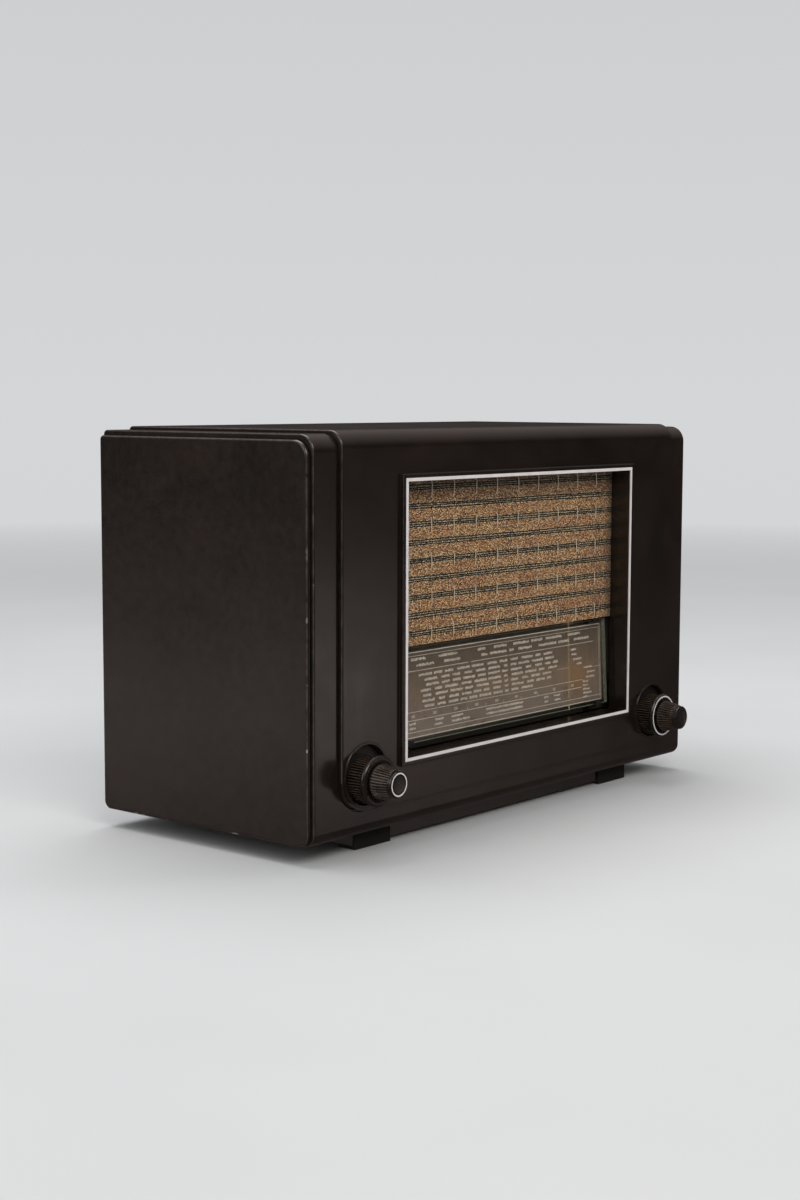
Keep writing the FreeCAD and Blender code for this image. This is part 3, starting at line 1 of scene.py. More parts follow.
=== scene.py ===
import bpy
import bmesh
import json
import math
import random
from mathutils import Matrix, Vector
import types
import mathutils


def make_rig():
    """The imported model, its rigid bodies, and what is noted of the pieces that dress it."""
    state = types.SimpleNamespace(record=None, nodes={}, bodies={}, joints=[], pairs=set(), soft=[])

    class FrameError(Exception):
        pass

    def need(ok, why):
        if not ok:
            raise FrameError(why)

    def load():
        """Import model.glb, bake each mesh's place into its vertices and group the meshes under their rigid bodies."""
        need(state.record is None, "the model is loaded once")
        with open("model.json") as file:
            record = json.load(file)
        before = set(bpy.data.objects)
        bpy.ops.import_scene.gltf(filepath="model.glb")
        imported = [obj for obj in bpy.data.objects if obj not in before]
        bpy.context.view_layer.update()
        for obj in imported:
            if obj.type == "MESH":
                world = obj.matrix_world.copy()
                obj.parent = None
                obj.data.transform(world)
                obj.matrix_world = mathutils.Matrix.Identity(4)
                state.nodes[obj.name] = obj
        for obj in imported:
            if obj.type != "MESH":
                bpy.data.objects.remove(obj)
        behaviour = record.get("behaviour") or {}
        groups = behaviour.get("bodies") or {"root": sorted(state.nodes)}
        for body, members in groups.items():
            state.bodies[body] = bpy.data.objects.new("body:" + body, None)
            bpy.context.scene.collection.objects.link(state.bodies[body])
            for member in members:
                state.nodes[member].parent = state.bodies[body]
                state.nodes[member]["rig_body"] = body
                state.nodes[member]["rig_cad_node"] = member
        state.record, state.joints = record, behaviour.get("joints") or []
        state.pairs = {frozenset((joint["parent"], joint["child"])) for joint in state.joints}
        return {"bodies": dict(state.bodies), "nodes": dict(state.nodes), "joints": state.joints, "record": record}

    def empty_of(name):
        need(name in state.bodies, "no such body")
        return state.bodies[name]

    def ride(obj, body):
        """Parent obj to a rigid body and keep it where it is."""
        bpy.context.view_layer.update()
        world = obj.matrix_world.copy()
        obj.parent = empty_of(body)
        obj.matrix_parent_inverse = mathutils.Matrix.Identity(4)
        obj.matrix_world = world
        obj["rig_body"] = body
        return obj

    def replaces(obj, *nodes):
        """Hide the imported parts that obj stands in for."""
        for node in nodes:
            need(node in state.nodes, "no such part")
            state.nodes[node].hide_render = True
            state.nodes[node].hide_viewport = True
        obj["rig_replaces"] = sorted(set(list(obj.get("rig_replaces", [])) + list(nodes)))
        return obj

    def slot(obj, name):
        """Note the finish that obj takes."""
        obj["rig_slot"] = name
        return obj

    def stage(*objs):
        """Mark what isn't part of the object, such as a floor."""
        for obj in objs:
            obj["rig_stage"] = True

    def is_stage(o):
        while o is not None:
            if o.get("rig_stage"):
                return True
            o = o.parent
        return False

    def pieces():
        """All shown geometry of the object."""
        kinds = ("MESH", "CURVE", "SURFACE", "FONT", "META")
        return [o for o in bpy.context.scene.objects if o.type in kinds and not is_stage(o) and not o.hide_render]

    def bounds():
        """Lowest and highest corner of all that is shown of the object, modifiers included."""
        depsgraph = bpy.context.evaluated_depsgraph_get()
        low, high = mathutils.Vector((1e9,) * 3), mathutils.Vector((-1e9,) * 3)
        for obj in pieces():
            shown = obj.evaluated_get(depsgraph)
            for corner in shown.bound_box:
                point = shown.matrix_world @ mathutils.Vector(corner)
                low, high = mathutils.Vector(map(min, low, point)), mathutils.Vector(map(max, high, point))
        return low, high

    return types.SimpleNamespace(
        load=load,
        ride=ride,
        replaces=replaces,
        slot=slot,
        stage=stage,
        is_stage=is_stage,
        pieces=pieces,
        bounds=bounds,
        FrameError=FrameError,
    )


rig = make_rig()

# A dark moulded table radio on a pale studio floor.
# Pieces made here are drawn in millimetres: x to the right, y back from the front plane of the end cheeks,
# z up from the table. Shaders work in metres, except where a name ends in _mm.
MM = 0.001
FRONT = -79.05 * MM
# The knob pairs sit equally far left and right of the middle, each a little low in a round dish.
KNOB_X, KNOB_Z = 169.5, 51.2
DISH_Z, DISH_RADIUS = 54.0, 19.8
# Rim of the cabinet's ends, where the moulding is chipped.
END_RIM_X = 215.25

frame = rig.load()
START_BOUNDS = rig.bounds()
NODES = frame["nodes"]


# ---------- small helpers ----------
class Shader:
    """A material or world built from plain calls, such as s.node("TexNoise", Scale=5.0).

    In the functions below s is the shader being built and c the coordinates of the point that is shaded.
    """

    def __init__(self, name, kind="Material"):
        store = bpy.data.worlds if kind == "World" else bpy.data.materials
        self.material = store.new(name)
        self.material.use_nodes = True
        self.tree = self.material.node_tree
        self.tree.nodes.clear()
        self.out = self.tree.nodes.new("ShaderNodeOutput" + kind)

    def set(self, node, key, value):
        """Gives a node's property or socket a value, a colour or a link from another socket."""
        if isinstance(key, str) and hasattr(node, key) and key not in node.inputs:
            setattr(node, key, value)
            return
        socket = node.inputs[key]
        if isinstance(value, bpy.types.NodeSocket):
            self.tree.links.new(value, socket)
        elif hasattr(socket.default_value, "__len__") and not hasattr(value, "__len__"):
            socket.default_value = [value] * len(socket.default_value)
        elif hasattr(socket.default_value, "__len__") and len(socket.default_value) == 4 and len(value) == 3:
            socket.default_value = (*value, 1.0)
        else:
            socket.default_value = value

    def node(self, kind, /, *args, **values):
        """A new node. Names with a capital are its sockets, the others its properties."""
        n = self.tree.nodes.new("ShaderNode" + kind)
        for key, value in values.items():
            self.set(n, key.replace("_", " ") if key[:1].isupper() else key, value)
        for index, value in enumerate(args):
            self.set(n, index, value)
        return n

    def math(self, op, *args):
        n = self.tree.nodes.new("ShaderNodeMath")
        n.operation = op
        for index, value in enumerate(args):
            self.set(n, index, value)
        return n.outputs[0]

    def plus(self, first, *others):
        for other in others:
            first = self.math("ADD", first, other)
        return first

    def less(self, a, b):
        return self.math("SUBTRACT", a, b)

    def times(self, first, *others):
        for other in others:
            first = self.math("MULTIPLY", first, other)
        return first

    def invert(self, value):
        return self.less(1.0, value)

    def absolute(self, value):
        return self.math("ABSOLUTE", value)

    def grey(self, value):
        return self.node("CombineColor", value, value, value).outputs[0]

    def shade(self, color, by):
        """One colour multiplied by another."""
        return self.mix(1.0, color, by, "MULTIPLY")

    def mix(self, fac, a, b, blend="MIX"):
        """From colour a to colour b. The node's colour sockets are inputs 6 and 7 and output 2."""
        n = self.tree.nodes.new("ShaderNodeMix")
        n.data_type = "RGBA"
        n.blend_type = blend
        self.set(n, 0, fac)
        self.set(n, 6, a)
        self.set(n, 7, b)
        return n.outputs[2]

    def ramp(self, fac, stops):
        """Colours or greys blended between (position, colour) stops."""
        n = self.tree.nodes.new("ShaderNodeValToRGB")
        self.set(n, 0, fac)
        while len(n.color_ramp.elements) < len(stops):
            n.color_ramp.elements.new(0.5)
        for e, (pos, col) in zip(n.color_ramp.elements, stops):
            e.position = pos
            e.color = (col, col, col, 1.0) if not hasattr(col, "__len__") else (*col, 1.0)
        return n.outputs[0]

    def coords(self):
        return self.node("TexCoord").outputs["Object"]

    def position(self, coords):
        """The x, y and z of a point, in millimetres."""
        return [self.times(out, 1.0 / MM) for out in self.node("SeparateXYZ", coords).outputs]

    def scaled(self, coords, scale):
        return self.node("Mapping", Vector=coords, Scale=scale).outputs[0]

    def noise(self, coords, scale, detail=4.0, rough=0.55, distort=0.0):
        n = self.node("TexNoise", Vector=coords, Scale=scale, Detail=detail, Roughness=rough,
                      Distortion=distort)
        return n.outputs["Fac"]

    def bump(self, height, strength, distance, normal=None):
        n = self.node("Bump", Height=height, Strength=strength, Distance=distance)
        if normal is not None:
            self.tree.links.new(normal, n.inputs["Normal"])
        return n.outputs[0]

    def surface(self, **values):
        p = self.node("BsdfPrincipled", **values)
        self.tree.links.new(p.outputs[0], self.out.inputs["Surface"])

    def blend(self, fac, first, second):
        """Mix of two shader nodes, sent to the output."""
        m = self.node("MixShader", Fac=fac)
        self.tree.links.new(first.outputs[0], m.inputs[1])
        self.tree.links.new(second.outputs[0], m.inputs[2])
        self.tree.links.new(m.outputs[0], self.out.inputs["Surface"])

    def band(self, value, middle, width):
        """1 at the middle value, falling smoothly to 0 a width away."""
        off = self.math("DIVIDE", self.less(value, middle), width)
        return self.math("POWER", 2.718, self.times(off, off, -1.0))

    def step(self, value, low, high):
        """0 below the low value and 1 above the high one."""
        return self.node("MapRange", Value=value, From_Min=low, From_Max=high).outputs[0]


def add_object(name, data):
    o = bpy.data.objects.new(name, data)
    bpy.context.scene.collection.objects.link(o)
    return o


def paint(obj, material):
    obj.data.materials.clear()
    obj.data.materials.append(material)


# ---------- materials ----------
def bakelite():
    """Dark mottled moulding with a soft polish, rounded arrises with painted highlight lines, painted shade in the
    knob dishes and a few pale chips on the end rims.
    """
    s = Shader("bakelite")
    c = s.coords()
    x_mm, _, z_mm = s.position(c)
    from_middle = s.absolute(x_mm)
    cloud = s.noise(c, 15.0, 6.0, 0.62, 0.9)
    second = s.noise(s.scaled(c, (9.0, 9.0, 26.0)), 1.0, 5.0, 0.6, 1.2)
    fleck = s.noise(c, 620.0, 3.0, 0.7)
    base = s.ramp(cloud, [(0.30, (0.0060, 0.0042, 0.0032)), (0.5, (0.0105, 0.0066, 0.0050)),
                          (0.72, (0.0180, 0.0098, 0.0074))])
    base = s.mix(s.ramp(second, [(0.45, 0.0), (0.75, 0.55)]), base, (0.0092, 0.0086, 0.0060))
    base = s.mix(s.ramp(fleck, [(0.55, 0.0), (0.8, 0.4)]), base, (0.026, 0.016, 0.011))
    soft = s.node("Bevel", samples=4, Radius=0.0007).outputs[0]
    flat = s.node("NewGeometry").outputs["Normal"]
    lean = s.absolute(s.node("SeparateXYZ", flat).outputs[0])
    edge = s.band(lean, 0.72, 0.20)
    # Painted highlight: lighter colour along the rounded arrises, where the smooth-shaded normal leans about halfway
    # towards the ends, broken up by noise.
    painted_edge_highlight = s.times(edge, s.step(s.noise(c, 160.0, 4.0, 0.7), 0.30, 0.66))
    base = s.mix(s.times(painted_edge_highlight, 0.6), base, (0.12, 0.095, 0.080))
    on_rim = s.step(from_middle, END_RIM_X - 0.75, END_RIM_X + 0.75)
    low = s.invert(s.step(z_mm, 50.0, 240.0))
    chip = s.times(s.step(edge, 0.2, 0.5), s.step(s.noise(c, 95.0, 3.0, 0.6), 0.62, 0.65))
    chip = s.times(chip, on_rim, low)
    base = s.mix(chip, base, (0.38, 0.33, 0.27))
    # Painted shade: inside the round dishes behind the knobs the colour is darkened and the roughness raised, so the
    # hollows look shadowed and reflect little.
    from_dish = s.node("CombineXYZ", s.less(from_middle, KNOB_X), 0.0, s.less(z_mm, DISH_Z)).outputs[0]
    reach = s.node("VectorMath", from_dish, operation="LENGTH").outputs["Value"]
    painted_dish_shade = s.invert(s.step(reach, DISH_RADIUS - 0.2, DISH_RADIUS + 0.2))
    base = s.mix(painted_dish_shade, base, (0.0035, 0.0028, 0.0023))
    streak = s.noise(s.scaled(c, (420.0, 420.0, 9.0)), 1.0, 3.0, 0.6)
    wiped = s.noise(s.scaled(c, (14.0, 14.0, 40.0)), 1.0, 4.0, 0.6, 0.4)
    rough = s.plus(0.10, s.times(cloud, 0.12), s.times(streak, 0.05), s.times(wiped, 0.08),
                   s.times(painted_dish_shade, 0.45))
    pores = s.bump(s.noise(c, 1100.0, 2.0), 0.10, 0.0002, soft)
    ripple = s.bump(s.noise(c, 26.0, 2.0), 0.06, 0.0018, pores)
    normal = s.bump(streak, 0.035, 0.0003, ripple)
    s.surface(Base_Color=base, Roughness=rough, IOR=1.56, Coat_Weight=0.12, Coat_Roughness=0.12,
              Normal=normal)
    return s.material


def plain(name, color, rough, metal=0.0, scale=300.0, bump=0.1, vary=0.25, distance=0.0003):
    """One colour, slightly clouded and grained."""
    s = Shader(name)
    c = s.coords()
    cloud = s.noise(c, scale * 0.15, 5.0, 0.6)
    grain = s.noise(c, scale, 3.0)
    dark = tuple(v * (1.0 - vary) for v in color)
    light = tuple(min(1.0, v * (1.0 + vary)) for v in color)
    base = s.ramp(cloud, [(0.3, dark), (0.7, light)])
    r = s.plus(s.times(cloud, 0.2), rough - 0.1)
    s.surface(Base_Color=base, Roughness=r, Metallic=metal, Normal=s.bump(grain, bump, distance))
    return s.material


def clear_glass(name, tint, rough=0.03, dust=0.05, rim=(0.20, 0.24, 0.18)):
    """Clear sheet or bulb glass: mostly see-through, with reflections, a little dust and ground edges."""
    s = Shader(name)
    c = s.coords()
    smear = s.noise(c, 45.0, 6.0, 0.65)
    normal = s.bump(smear, 0.03, 0.0006)
    clear = s.node("BsdfTransparent", Color=tint)
    gloss = s.node("BsdfGlossy", Roughness=s.plus(s.times(smear, 0.12), rough), Normal=normal)
    facing = s.node("LayerWeight", Blend=0.5, Normal=normal).outputs["Facing"]
    body = s.node("MixShader", Fac=s.plus(0.035, s.times(s.math("POWER", facing, 5.0), 0.9)))
    s.tree.links.new(clear.outputs[0], body.inputs[1])
    s.tree.links.new(gloss.outputs[0], body.inputs[2])
    grain = s.ramp(s.noise(c, 700.0, 4.0, 0.7), [(0.5, 0.0), (0.75, 1.0)])
    film = s.node("BsdfDiffuse", Color=s.mix(grain, rim, (0.5, 0.48, 0.42)))
    side = s.node("SeparateXYZ", s.node("NewGeometry").outputs["Normal"])
    across = s.math("MAXIMUM", s.absolute(side.outputs[0]), s.absolute(side.outputs[2]))
    ground = s.times(s.step(across, 0.96, 0.98), 0.8)
    s.blend(s.math("MAXIMUM", ground, s.times(grain, dust)), body, film)
    return s.material


def brushed(name, color, rough, stretch=(40.0, 900.0, 900.0), tarnish=0.25):
    """Plated or bare metal with drawn streaks and dull tarnish."""
    s = Shader(name)
    c = s.coords()
    streak = s.noise(s.scaled(c, stretch), 1.0, 4.0, 0.65)
    cloud = s.noise(c, 60.0, 6.0, 0.65, 0.6)
    dull = tuple(v * 0.45 for v in color)
    base = s.mix(s.times(s.step(cloud, 0.45, 0.8), tarnish * 2.0), color, dull)
    r = s.plus(rough - 0.08, s.times(streak, 0.12), s.times(cloud, 0.2))
    s.surface(Base_Color=base, Roughness=r, Metallic=1.0, Normal=s.bump(streak, 0.12, 0.0002))
    return s.material


def wood():
    """Birch ply: long grain along X on the faces and stacked plies on the edges."""
    s = Shader("plywood")
    c = s.coords()
    grain = s.noise(s.scaled(c, (9.0, 420.0, 160.0)), 1.0, 5.0, 0.65, 0.5)
    rings = s.noise(s.scaled(c, (3.0, 60.0, 26.0)), 1.0, 3.0, 0.5, 1.5)
    base = s.ramp(grain, [(0.3, (0.22, 0.13, 0.065)), (0.55, (0.40, 0.27, 0.15)), (0.8, (0.52, 0.38, 0.23))])
    base = s.mix(s.step(rings, 0.35, 0.7), base, s.shade(base, (0.75, 0.62, 0.5)))
    s.surface(Base_Color=base, Roughness=0.72, Normal=s.bump(grain, 0.35, 0.0003))
    return s.material


def pressed_board(name, dark, light):
    """Fibre board: short matted fibres with stray pale and dark flecks."""
    s = Shader(name)
    c = s.coords()
    fibre = s.noise(s.scaled(c, (260.0, 900.0, 640.0)), 1.0, 5.0, 0.75, 1.6)
    cloud = s.noise(c, 24.0, 5.0, 0.6)
    base = s.ramp(fibre, [(0.3, dark), (0.62, light), (0.8, tuple(v * 1.7 for v in light))])
    base = s.mix(s.ramp(cloud, [(0.4, 0.0), (0.75, 0.5)]), base, dark)
    s.surface(Base_Color=base, Roughness=0.78, Normal=s.bump(fibre, 0.5, 0.0003))
    return s.material


def striped(name, dark, light, axis, pitch_mm, rough, metal=0.0):
    """Stacked sheets or wound layers: fine lines a set pitch apart along one axis."""
    s = Shader(name)
    c = s.coords()
    along = s.node("SeparateXYZ", c).outputs[axis]
    jitter = s.times(s.noise(c, 90.0, 3.0), 0.0004)
    wave = s.math("SINE", s.times(s.plus(along, jitter), 2.0 * math.pi / (pitch_mm * MM)))
    mask = s.plus(0.5, s.times(wave, 0.5))
    cloud = s.noise(c, 50.0, 6.0, 0.65)
    base = s.mix(mask, dark, light)
    base = s.mix(s.ramp(cloud, [(0.45, 0.0), (0.8, 0.6)]), base, dark)
    s.surface(Base_Color=base, Roughness=s.plus(rough, s.times(cloud, 0.2)), Metallic=metal,
              Normal=s.bump(mask, 0.5, 0.0003))
    return s.material


def turned_plastic(name, dark, light):
    """Knob moulding with a slightly greasy polish."""
    s = Shader(name)
    c = s.coords()
    cloud = s.noise(c, 130.0, 5.0, 0.6)
    grease = s.noise(s.scaled(c, (240.0, 90.0, 240.0)), 1.0, 5.0, 0.7)
    base = s.ramp(s.times(s.plus(cloud, grease), 0.5), [(0.35, dark), (0.65, light)])
    soft = s.node("Bevel", samples=4, Radius=0.0002).outputs[0]
    rough = s.plus(0.17, s.times(grease, 0.2))
    s.surface(Base_Color=base, Roughness=rough, IOR=1.55, Coat_Weight=0.15, Coat_Roughness=0.12,
              Normal=s.bump(s.noise(c, 1400.0, 2.0), 0.10, 0.0002, soft))
    return s.material


def dial_paint():
    """Painted back plate of the dial, grubby and in shadow outside the lit area."""
    s = Shader("dial_paint")
    c = s.coords()
    _, _, z_mm = s.position(c)
    cloud = s.noise(c, 45.0, 5.0, 0.65, 0.5)
    base = s.ramp(cloud, [(0.3, (0.115, 0.094, 0.070)), (0.7, (0.23, 0.19, 0.14))])
    lit = s.math("MINIMUM", s.step(z_mm, 63.0, 68.0), s.step(s.times(z_mm, -1.0), -131.0, -124.0))
    base = s.mix(lit, (0.030, 0.026, 0.019), base)
    s.surface(Base_Color=base, Roughness=0.6, Normal=s.bump(s.noise(c, 500.0, 3.0), 0.15, 0.0003))
    return s.material


def cord_material():
    """Waxed braided cord."""
    s = Shader("cord")
    c = s.coords()
    sep = s.node("SeparateXYZ", c)
    run = s.plus(sep.outputs[0], sep.outputs[2])
    twist = s.math("SINE", s.plus(s.times(run, 5200.0), s.times(sep.outputs[1], 6000.0)))
    fibre = s.noise(c, 2200.0, 3.0, 0.7)
    mask = s.plus(s.times(twist, 0.3), fibre)
    s.surface(Base_Color=s.ramp(mask, [(0.2, (0.22, 0.17, 0.10)), (0.8, (0.58, 0.50, 0.36))]), Roughness=0.8,
              Normal=s.bump(mask, 0.6, 0.0002))
    return s.material


MATERIALS = {
    "bakelite": bakelite(),
    "knob_plastic": turned_plastic("knob_plastic", (0.0050, 0.0038, 0.0031), (0.0115, 0.0082, 0.0064)),
    "ivory_plastic": plain("ivory_plastic", (0.80, 0.755, 0.745), 0.34, 0.0, 700.0, 0.08, 0.08),
    "grille_cloth": plain("cloth_back", (0.45, 0.34, 0.2), 0.8, 0.0, 900.0, 0.5),
    "plywood": wood(),
    "hardboard": pressed_board("hardboard", (0.050, 0.028, 0.016), (0.13, 0.078, 0.042)),
    "plated_steel": brushed("plated_steel", (0.50, 0.47, 0.40), 0.40),
    "screw_steel": brushed("screw_steel", (0.46, 0.45, 0.42), 0.34, (700.0, 700.0, 700.0), 0.35),
    "dial_paint": dial_paint(),
    "dial_glass": clear_glass("dial_glass", (0.95, 0.945, 0.93)),
    "lamp_glass": clear_glass("lamp_glass", (0.95, 0.93, 0.86), 0.03, 0.15, (0.6, 0.58, 0.5)),
    "valve_glass": clear_glass("valve_glass", (0.86, 0.88, 0.88), 0.02, 0.08, (0.35, 0.36, 0.36)),
    # The rubber is darker than bare rubber: painted shade for the feet, which stand in the shadow under the cabinet.
    "rubber": plain("rubber", (0.0075, 0.0070, 0.0062), 0.78, 0.0, 420.0, 0.35, 0.4),
    "pointer_paint": plain("pointer_paint", (1.0, 0.68, 0.36), 0.4, 0.0, 800.0, 0.1, 0.12),
    "brass": brushed("brass", (0.58, 0.42, 0.18), 0.34, (300.0, 900.0, 300.0), 0.4),
    "copper": brushed("copper", (0.50, 0.22, 0.10), 0.38, (900.0, 900.0, 90.0), 0.3),
    "aluminium": brushed("aluminium", (0.62, 0.62, 0.61), 0.36, (500.0, 500.0, 40.0), 0.25),
    "cord": cord_material(),
    "paper": pressed_board("paper", (0.030, 0.026, 0.022), (0.060, 0.052, 0.044)),
    "phenolic": pressed_board("phenolic", (0.085, 0.036, 0.014), (0.17, 0.078, 0.033)),
    "black_moulding": plain("black_moulding", (0.013, 0.0125, 0.012), 0.42, 0.0, 600.0, 0.12, 0.35),
    "iron": striped("iron", (0.035, 0.032, 0.030), (0.15, 0.14, 0.13), 1, 1.0, 0.45, 0.7),
}
WINDING = striped("winding", (0.11, 0.055, 0.022), (0.26, 0.15, 0.07), 2, 0.9, 0.5)
WOUND_NODES = ("mains_transformer_coil", "output_transformer_coil", "if_coils")
# Lighter brown for the flat crests of the knobs' ribs: partly wear on the crests, partly a painted highlight along
# them.
RIB_CREST_WEAR_AND_HIGHLIGHT = turned_plastic("rib_crest_wear_and_highlight", (0.022, 0.0145, 0.010), (0.115, 0.076, 0.053))


def paint_nodes():
    """Each piece of the frame gets the look of its material slot; coils show their windings."""
    for row in frame["record"]["subparts"]:
        wound = row["node"] in WOUND_NODES
        paint(NODES[row["node"]], WINDING if wound else MATERIALS[row["material_slot"]])


# ---------- mesh helpers ----------
def mesh_object(name, verts, faces, materials, body, slot, sharp=35.0):
    """A new piece from vertices in millimetres (set back from the cabinet front), riding on a body."""
    mesh = bpy.data.meshes.new(name)
    mesh.from_pydata([(x * MM, FRONT + y * MM, z * MM) for x, y, z in verts], [], faces)
    mesh.validate()
    for m in materials:
        mesh.materials.append(m)
    mesh.shade_smooth()
    mesh.set_sharp_from_angle(angle=math.radians(sharp))
    o = add_object(name, mesh)
    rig.ride(o, body)
    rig.slot(o, slot)
    return o


# One rib and groove of a knob's grip, as depths below the crest; a depth under CREST counts as the crest.
RIB = (0.0, 0.0, 0.12, 0.7, 1.0, 1.0, 0.7, 0.12)
CREST = 0.2
SMOOTH_RING = 0.15


def lathe(name, x, z, rings, material, body, slot, teeth=0, steps=96):
    """Turns (radius, set-back, rib depth) rings about a front-to-back axis; a depth of zero has no ribs."""
    n = teeth * len(RIB) if teeth else steps
    verts, faces = [], []
    for r, y, depth in rings:
        for k in range(n):
            a = 2.0 * math.pi * k / n
            rr = r - depth * RIB[k % len(RIB)]
            verts.append((x + rr * math.cos(a), y, z + rr * math.sin(a)))
    for j in range(len(rings) - 1):
        for k in range(n):
            k2 = (k + 1) % n
            faces.append((j * n + k, (j + 1) * n + k, (j + 1) * n + k2, j * n + k2))
    faces.append(tuple(range(n)))
    faces.append(tuple(reversed(range((len(rings) - 1) * n, len(rings) * n))))
    made = mesh_object(name, verts, faces, [material, RIB_CREST_WEAR_AND_HIGHLIGHT], body, slot)
    # Flat rib crests take the second material, whose lighter colour is partly crest wear and partly a painted
    # highlight.
    if teeth:
        crest = [depth < CREST for depth in RIB]
        for j in range(len(rings) - 1):
            if min(rings[j][2], rings[j + 1][2]) < SMOOTH_RING:
                continue
            for k in range(n):
                if crest[k % len(RIB)] and crest[(k + 1) % len(RIB)]:
                    made.data.polygons[j * n + k].material_index = 1
    return made


# ---------- knobs ----------
# Profiles run from the middle of the nose, over the grip, to the bore: radius, set-back, rib depth.
SMALL_PROFILE = (
    (0.6, -32.75, 0), (5.0, -32.7, 0), (6.6, -32.85, 0), (6.75, -33.05, 0), (6.8, -32.9, 0), (7.8, -32.9, 0),
    (7.85, -33.1, 0), (8.2, -33.15, 0), (8.6, -32.95, 0), (8.85, -32.4, 0), (8.95, -31.6, 0), (9.0, -30.3, 0),
    (9.25, -29.9, 0.2), (9.5, -29.5, 0.65), (9.8, -28.4, 0.8), (10.6, -24.2, 0.85), (11.5, -19.4, 0.85),
    (11.75, -18.4, 0.6), (11.6, -17.9, 0.2), (11.0, -17.65, 0), (3.2, -17.65, 0))
LARGE_PROFILE = (
    (3.2, -16.8, 0), (12.3, -16.8, 0), (12.8, -17.1, 0), (14.1, -17.2, 0), (14.2, -17.0, 0), (15.4, -17.0, 0),
    (15.45, -17.18, 0), (15.75, -17.1, 0), (16.35, -16.55, 0), (16.75, -15.9, 0), (16.85, -15.1, 0),
    (16.8, -14.4, 0), (16.3, -13.95, 0), (15.5, -13.8, 0.05), (15.1, -13.5, 0.3), (15.1, -13.0, 0.85),
    (15.3, -10.0, 0.95), (15.6, -5.4, 0.95), (15.8, -3.4, 0.8), (15.7, -2.8, 0.4), (15.3, -2.45, 0),
    (4.2, -2.4, 0))
SMALL_RIBS, LARGE_RIBS = 36, 52
# Ivory rings let into the front of a knob: inner radius, outer radius, set-back of their seat.
SMALL_RING = (6.82, 7.78, -32.92)
LARGE_RING = (14.22, 15.38, -17.02)
RING_PROUD, RING_BEVEL = 0.2, 0.08


def knob(name, side, body, node, profile, ribs, ring=None):
    """Knob on the left (-1) or right (1) pair of shafts, in place of the frame's plain one."""
    x = side * KNOB_X
    made = lathe(name, x, KNOB_Z, profile, MATERIALS["knob_plastic"], body, "knob_plastic", ribs)
    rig.replaces(made, node)
    if ring:
        ivory_ring(name + "_ring", x, KNOB_Z, ring, body)


def ivory_ring(name, x, z, ring, body, steps=128):
    """A bevelled ring that stands a little proud of the knob's face."""
    inner, outer, seat = ring
    face = seat - RING_PROUD
    profile = ((inner, seat), (inner + RING_BEVEL, face), (outer - RING_BEVEL, face), (outer, seat))
    verts, faces = [], []
    for r, y in profile:
        for k in range(steps):
            a = 2.0 * math.pi * k / steps
            verts.append((x + r * math.cos(a), y, z + r * math.sin(a)))
    for j in range(len(profile)):
        j2 = (j + 1) % len(profile)
        for k in range(steps):
            k2 = (k + 1) % steps
            faces.append((j * steps + k, j2 * steps + k, j2 * steps + k2, j * steps + k2))
    mesh_object(name, verts, faces, [MATERIALS["ivory_plastic"]], body, "ivory_plastic")


# ---------- grille cloth ----------
CLOTH_LOW, CLOTH_TOP, CLOTH_HALF = 130.5, 262.0, 139.0
CLOTH_FACE = 8.75
CLOTH_THICK = 0.35
# Threads are drawn only where the window shows them.
WEAVE_HALF, WEAVE_TOP = 131.0, 242.0
# Groups of three dark threads: middle of the lowest group, pitch of the groups, pitch within a group.
BAND_START, BAND_PITCH, DARK_PITCH = 138.4, 12.27, 1.45
# Cream threads run upwards and show where they float over every second dark group.
CREAM_FIRST, CREAM_PITCH = 11.2, 24.5
FLOAT_LOW, FLOAT_HALF, FLOAT_DIVE = 1.2, 3.8, 2.4


